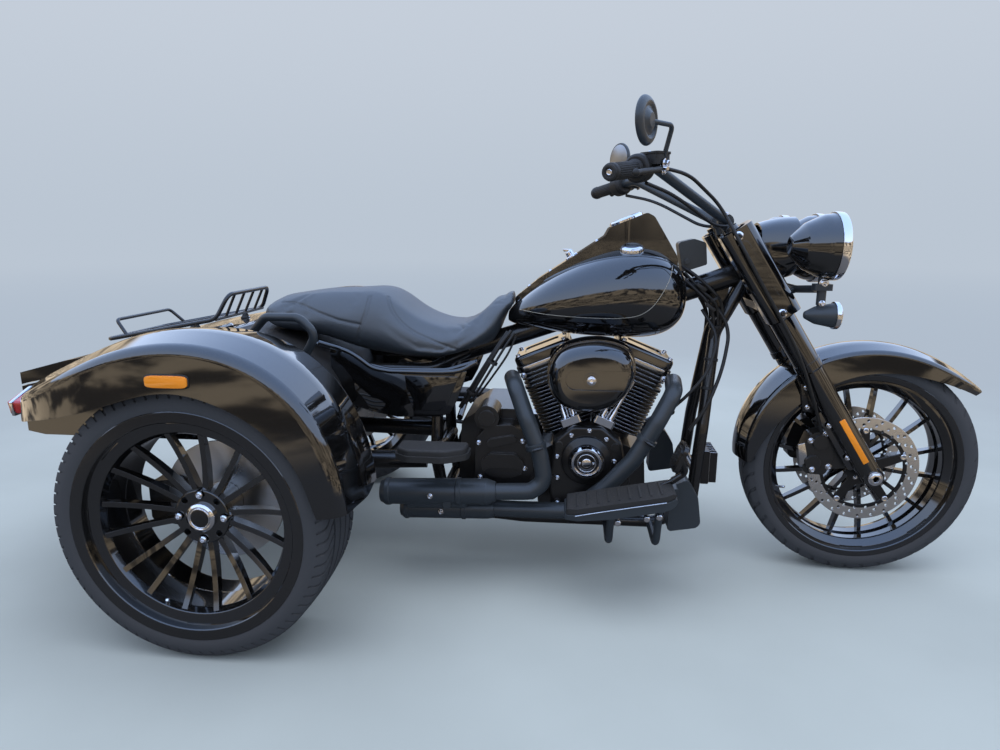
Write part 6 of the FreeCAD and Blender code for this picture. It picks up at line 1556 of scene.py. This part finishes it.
class TRIKE_OT_body(bpy.types.Operator):
    """Model the trunk's lock and reflectors, the blank plate with its lamp, and the bolts of the rear body"""

    bl_idname = "trike.body"
    bl_label = "Body"

    def execute(self, context):
        bm = bmesh.new()
        add_number_plate(bm)
        add_trunk_back(bm)
        for word, side in SIDES:
            for x in FENDER_SCREWS:
                bolt_on(bm, "rear_fender_" + word, at(x, side * FENDER_SCREW_Y, 1200), -UPWARD,
                        5.5, 3.5)
            for x, z in VALANCE_SCREWS:
                bolt_on(bm, "front_valance", at(x, side * 700, z), -outward(side), 6, 4, outward(side))
        add_piece("rear_fittings", bm, ["chrome", "plate_white", "moulded_black", "lamp_red"], "chassis")
        bm = bmesh.new()
        for side in (-1, 1):
            for x, z in RACK_FEET:
                add_turned(bm, [(-3, 0), (-3, 15), (3, 15), (6, 11), (14, 8.5), (14, 0)],
                           at(x, side * RACK_FOOT_Y, z), UPWARD, 1, 28)
                for k in (-1, 1):
                    add_bolt(bm, at(x + k * RACK_SCREW_REACH, side * RACK_FOOT_Y, z + 3.0 + k * 0.4), UPWARD,
                             2.8, 2.5)
            x, y, z = LID_BUFFER
            add_turned(bm, [(-4, 0), (-4, 9.6), (0, 9.6), (1.5, 7), (1.5, 0)], at(x, side * y, z),
                       -outward(side), 0, 24)
        add_piece("rack_feet", bm, ["chrome", "moulded_black"], "lid")
        return {"FINISHED"}


class TRIKE_OT_boards(bpy.types.Operator):
    """Model the bolts and the bright edge of the footboards, and the line clips"""

    bl_idname = "trike.boards"
    bl_label = "Footboards"

    def execute(self, context):
        bm = bmesh.new()
        for side in (-1, 1):
            add_sweep(bm, [at(x, side * BOARD_EDGE_Y, z) for x, z in BOARD_EDGE], 1.7 * MM, 1, 8, 4)
            for x, z in BOARD_BOLTS:
                add_turned(bm, [(-30, 0), (-30, 5), (0, 5), (0, 8), (7, 8), (9, 6), (9, 0)],
                           at(x, side * BOARD_BOLT_Y, z), outward(side), 0, 20)
            for x, y, z in HINGE_BOLTS:
                add_bolt(bm, at(x, side * y, z), UPWARD, 5, 4)
        # clips that hold the lines to the down tube
        run = LINE_TOP - LINE_FOOT
        for z in LINE_CLIPS:
            spot = LINE_TOP - run * ((LINE_TOP.z - z) / run.z)
            add_turned(bm, [(-4, 16.5), (-4, 19), (4, 19), (4, 16.5)],
                       spot * MM, run.normalized(), 2, 32, True)
        add_piece("board_fittings", bm, ["chrome", "polished_metal", "moulded_black"], "chassis")
        return {"FINISHED"}


# Stage: floor, backdrop, lamps and the camera


def gloss_strength(tree, gloss, stage):
    """Strength of one for the camera, and of the gloss level for mirrored rays."""
    return add_math(tree, "MULTIPLY_ADD", gloss, stage.gloss_level - 1.0, 1.0)


def add_floor(stage):
    """A pale mottled floor that melts into the backdrop with distance and shows darker in gloss."""
    bm = bmesh.new()
    bmesh.ops.create_grid(bm, x_segments=1, y_segments=1, size=60.0)
    material = bpy.data.materials.new("floor")
    material.use_nodes = True
    tree = material.node_tree
    shader = tree.nodes["Principled BSDF"]
    shader.inputs["Roughness"].default_value = 0.85
    path = tree.nodes.new("ShaderNodeLightPath").outputs
    gloss = path["Is Glossy Ray"]
    lighter = [min(1.0, c * 1.10) for c in stage.floor_colour]
    mottle = add_ramp(tree, add_noise(tree, 1.4, 5.0), 0.3, 0.7)
    seen = add_mix(tree, mottle, rgba(stage.floor_colour), rgba(lighter))
    feed(tree, shader.inputs["Base Color"], add_mix(tree, gloss, seen, rgba(stage.mirrored_floor)))
    # far floor takes the backdrop's own colour, and shows as warm sunlit ground in gloss
    reach = add_vector(tree, "LENGTH", own_place(tree), output="Value")
    fade = add_math(tree, "MAXIMUM",
                    add_math(tree, "MULTIPLY", add_ramp(tree, reach, 1.5, 4.6), path["Is Camera Ray"]),
                    add_math(tree, "MULTIPLY", add_ramp(tree, reach, 1.9, 3.0), gloss))
    far = add_mix(tree, add_ramp(tree, reach, 3.0, 22.0), rgba(stage.horizon_colour),
                  rgba(stage.middle_colour))
    patches = add_ramp(tree, add_noise(tree, 1.3, 5.0), 0.43, 0.56)
    ground = add_mix(tree, patches, rgba(stage.mirrored_foot), rgba(stage.mirrored_band))
    glow = tree.nodes.new("ShaderNodeEmission")
    feed(tree, glow.inputs["Color"], add_mix(tree, gloss, far, ground))
    feed(tree, glow.inputs["Strength"], gloss_strength(tree, gloss, stage))
    blend = tree.nodes.new("ShaderNodeMixShader")
    for socket, value in zip(blend.inputs, (fade, shader.outputs["BSDF"], glow.outputs["Emission"])):
        feed(tree, socket, value)
    feed(tree, tree.nodes["Material Output"].inputs["Surface"], blend.outputs[0])
    floor = put_in_scene("floor", mesh_of("floor", bm))
    floor.data.materials.append(material)


def add_world(stage):
    """A plain backdrop for the camera, an even dome for matt surfaces, and sky over a warm band for gloss."""
    world = bpy.data.worlds.new("studio")
    world.use_nodes = True
    bpy.context.scene.world = world
    tree = world.node_tree
    background = tree.nodes["Background"].inputs
    direction = tree.nodes.new("ShaderNodeSeparateXYZ")
    way = tree.nodes.new("ShaderNodeTexCoord").outputs["Generated"]
    feed(tree, direction.inputs[0], way)
    height = direction.outputs["Z"]
    backdrop = add_mix(tree, add_ramp(tree, height, -0.02, 0.34), rgba(stage.middle_colour),
                       rgba(stage.sky_colour))
    # gloss sees a pale sky, a warm band of rough height and a dark foot
    ragged = add_math(tree, "MULTIPLY_ADD", add_noise(tree, 3.2, 4.0, way), -0.16, height)
    patches = add_ramp(tree, add_noise(tree, 7.0, 5.0, way), 0.42, 0.56)
    lit = add_mix(tree, patches, rgba(stage.mirrored_foot), rgba(stage.mirrored_band))
    warm = add_mix(tree, add_ramp(tree, ragged, -0.14, -0.02), rgba(stage.mirrored_foot), lit)
    sky = add_mix(tree, add_ramp(tree, height, 0.15, 0.95), rgba(stage.mirrored_sky),
                  rgba(stage.mirrored_top))
    mirrored = add_mix(tree, add_ramp(tree, ragged, 0.11, 0.17), warm, sky)
    path = tree.nodes.new("ShaderNodeLightPath").outputs
    matt = add_mix(tree, path["Is Glossy Ray"], rgba(stage.dome_colour), mirrored)
    camera = add_math(tree, "MAXIMUM", path["Is Camera Ray"], path["Is Transmission Ray"])
    feed(tree, background["Color"], add_mix(tree, camera, matt, backdrop))
    feed(tree, background["Strength"], gloss_strength(tree, path["Is Glossy Ray"], stage))


def add_lamp(name, place, target, size, power):
    """A large soft lamp that points at a place on the object."""
    light = bpy.data.lights.new(name, "AREA")
    light.shape = "RECTANGLE"
    light.size, light.size_y = size
    light.energy = power
    lamp = put_in_scene(name, light)
    lamp.visible_glossy = False
    lamp.location = place
    lamp.rotation_euler = (Vector(target) - Vector(place)).to_track_quat("-Z", "Y").to_euler()


def add_camera(stage):
    """The camera at the photograph's place and angle."""
    camera = bpy.data.cameras.new("camera")
    camera.sensor_width = 36.0
    camera.lens = stage.lens
    holder = put_in_scene("camera", camera)
    level = math.cos(stage.pitch)
    forward = Vector((math.sin(stage.yaw) * level, math.cos(stage.yaw) * level, -math.sin(stage.pitch)))
    turn = forward.to_track_quat("-Z", "Y").to_matrix() @ Matrix.Rotation(stage.roll, 3, "Z")
    holder.rotation_euler = turn.to_euler()
    holder.location = stage.camera_place
    bpy.context.scene.camera = holder


class TRIKE_OT_stage(bpy.types.Operator):
    """Set the floor, the backdrop, the lamps and the camera"""

    bl_idname = "trike.stage"
    bl_label = "Stage"

    def execute(self, context):
        stage = context.scene.trike_stage
        add_floor(stage)
        add_world(stage)
        add_camera(stage)
        add_lamp("overhead", (0.1, -0.9, 3.4), (0, 0, 0.4), (4.2, 2.4), stage.key_power)
        add_lamp("behind", (0.0, 3.6, 2.2), (0, 0, 0.6), (4.0, 1.2), stage.key_power * 0.4)
        context.scene.view_settings.view_transform = "Standard"
        return {"FINISHED"}


OPERATORS = (TRIKE_OT_finishes, TRIKE_OT_tyres, TRIKE_OT_seat, TRIKE_OT_wheels, TRIKE_OT_lamps, TRIKE_OT_bars,
             TRIKE_OT_console, TRIKE_OT_engine, TRIKE_OT_exhaust, TRIKE_OT_wires, TRIKE_OT_panels,
             TRIKE_OT_body, TRIKE_OT_boards, TRIKE_OT_stage)


class TRIKE_PT_panel(bpy.types.Panel):
    """Sidebar panel with each step of the dressing"""

    bl_label = "Three-wheeled motorcycle"
    bl_idname = "TRIKE_PT_panel"
    bl_space_type = "VIEW_3D"
    bl_region_type = "UI"
    bl_category = "Trike"

    def draw(self, context):
        for operator in OPERATORS:
            self.layout.operator(operator.bl_idname)


def register():
    for name, group in SETTINGS:
        bpy.utils.register_class(group)
        setattr(bpy.types.Scene, name, bpy.props.PointerProperty(type=group))
    for operator in OPERATORS:
        bpy.utils.register_class(operator)
    bpy.utils.register_class(TRIKE_PT_panel)


def unregister():
    bpy.utils.unregister_class(TRIKE_PT_panel)
    for operator in reversed(OPERATORS):
        bpy.utils.unregister_class(operator)
    for name, group in reversed(SETTINGS):
        delattr(bpy.types.Scene, name)
        bpy.utils.unregister_class(group)


def main():
    register()
    for operator in OPERATORS:
        area, name = operator.bl_idname.split(".")
        getattr(getattr(bpy.ops, area), name)()


if __name__ == "__main__":
    main()
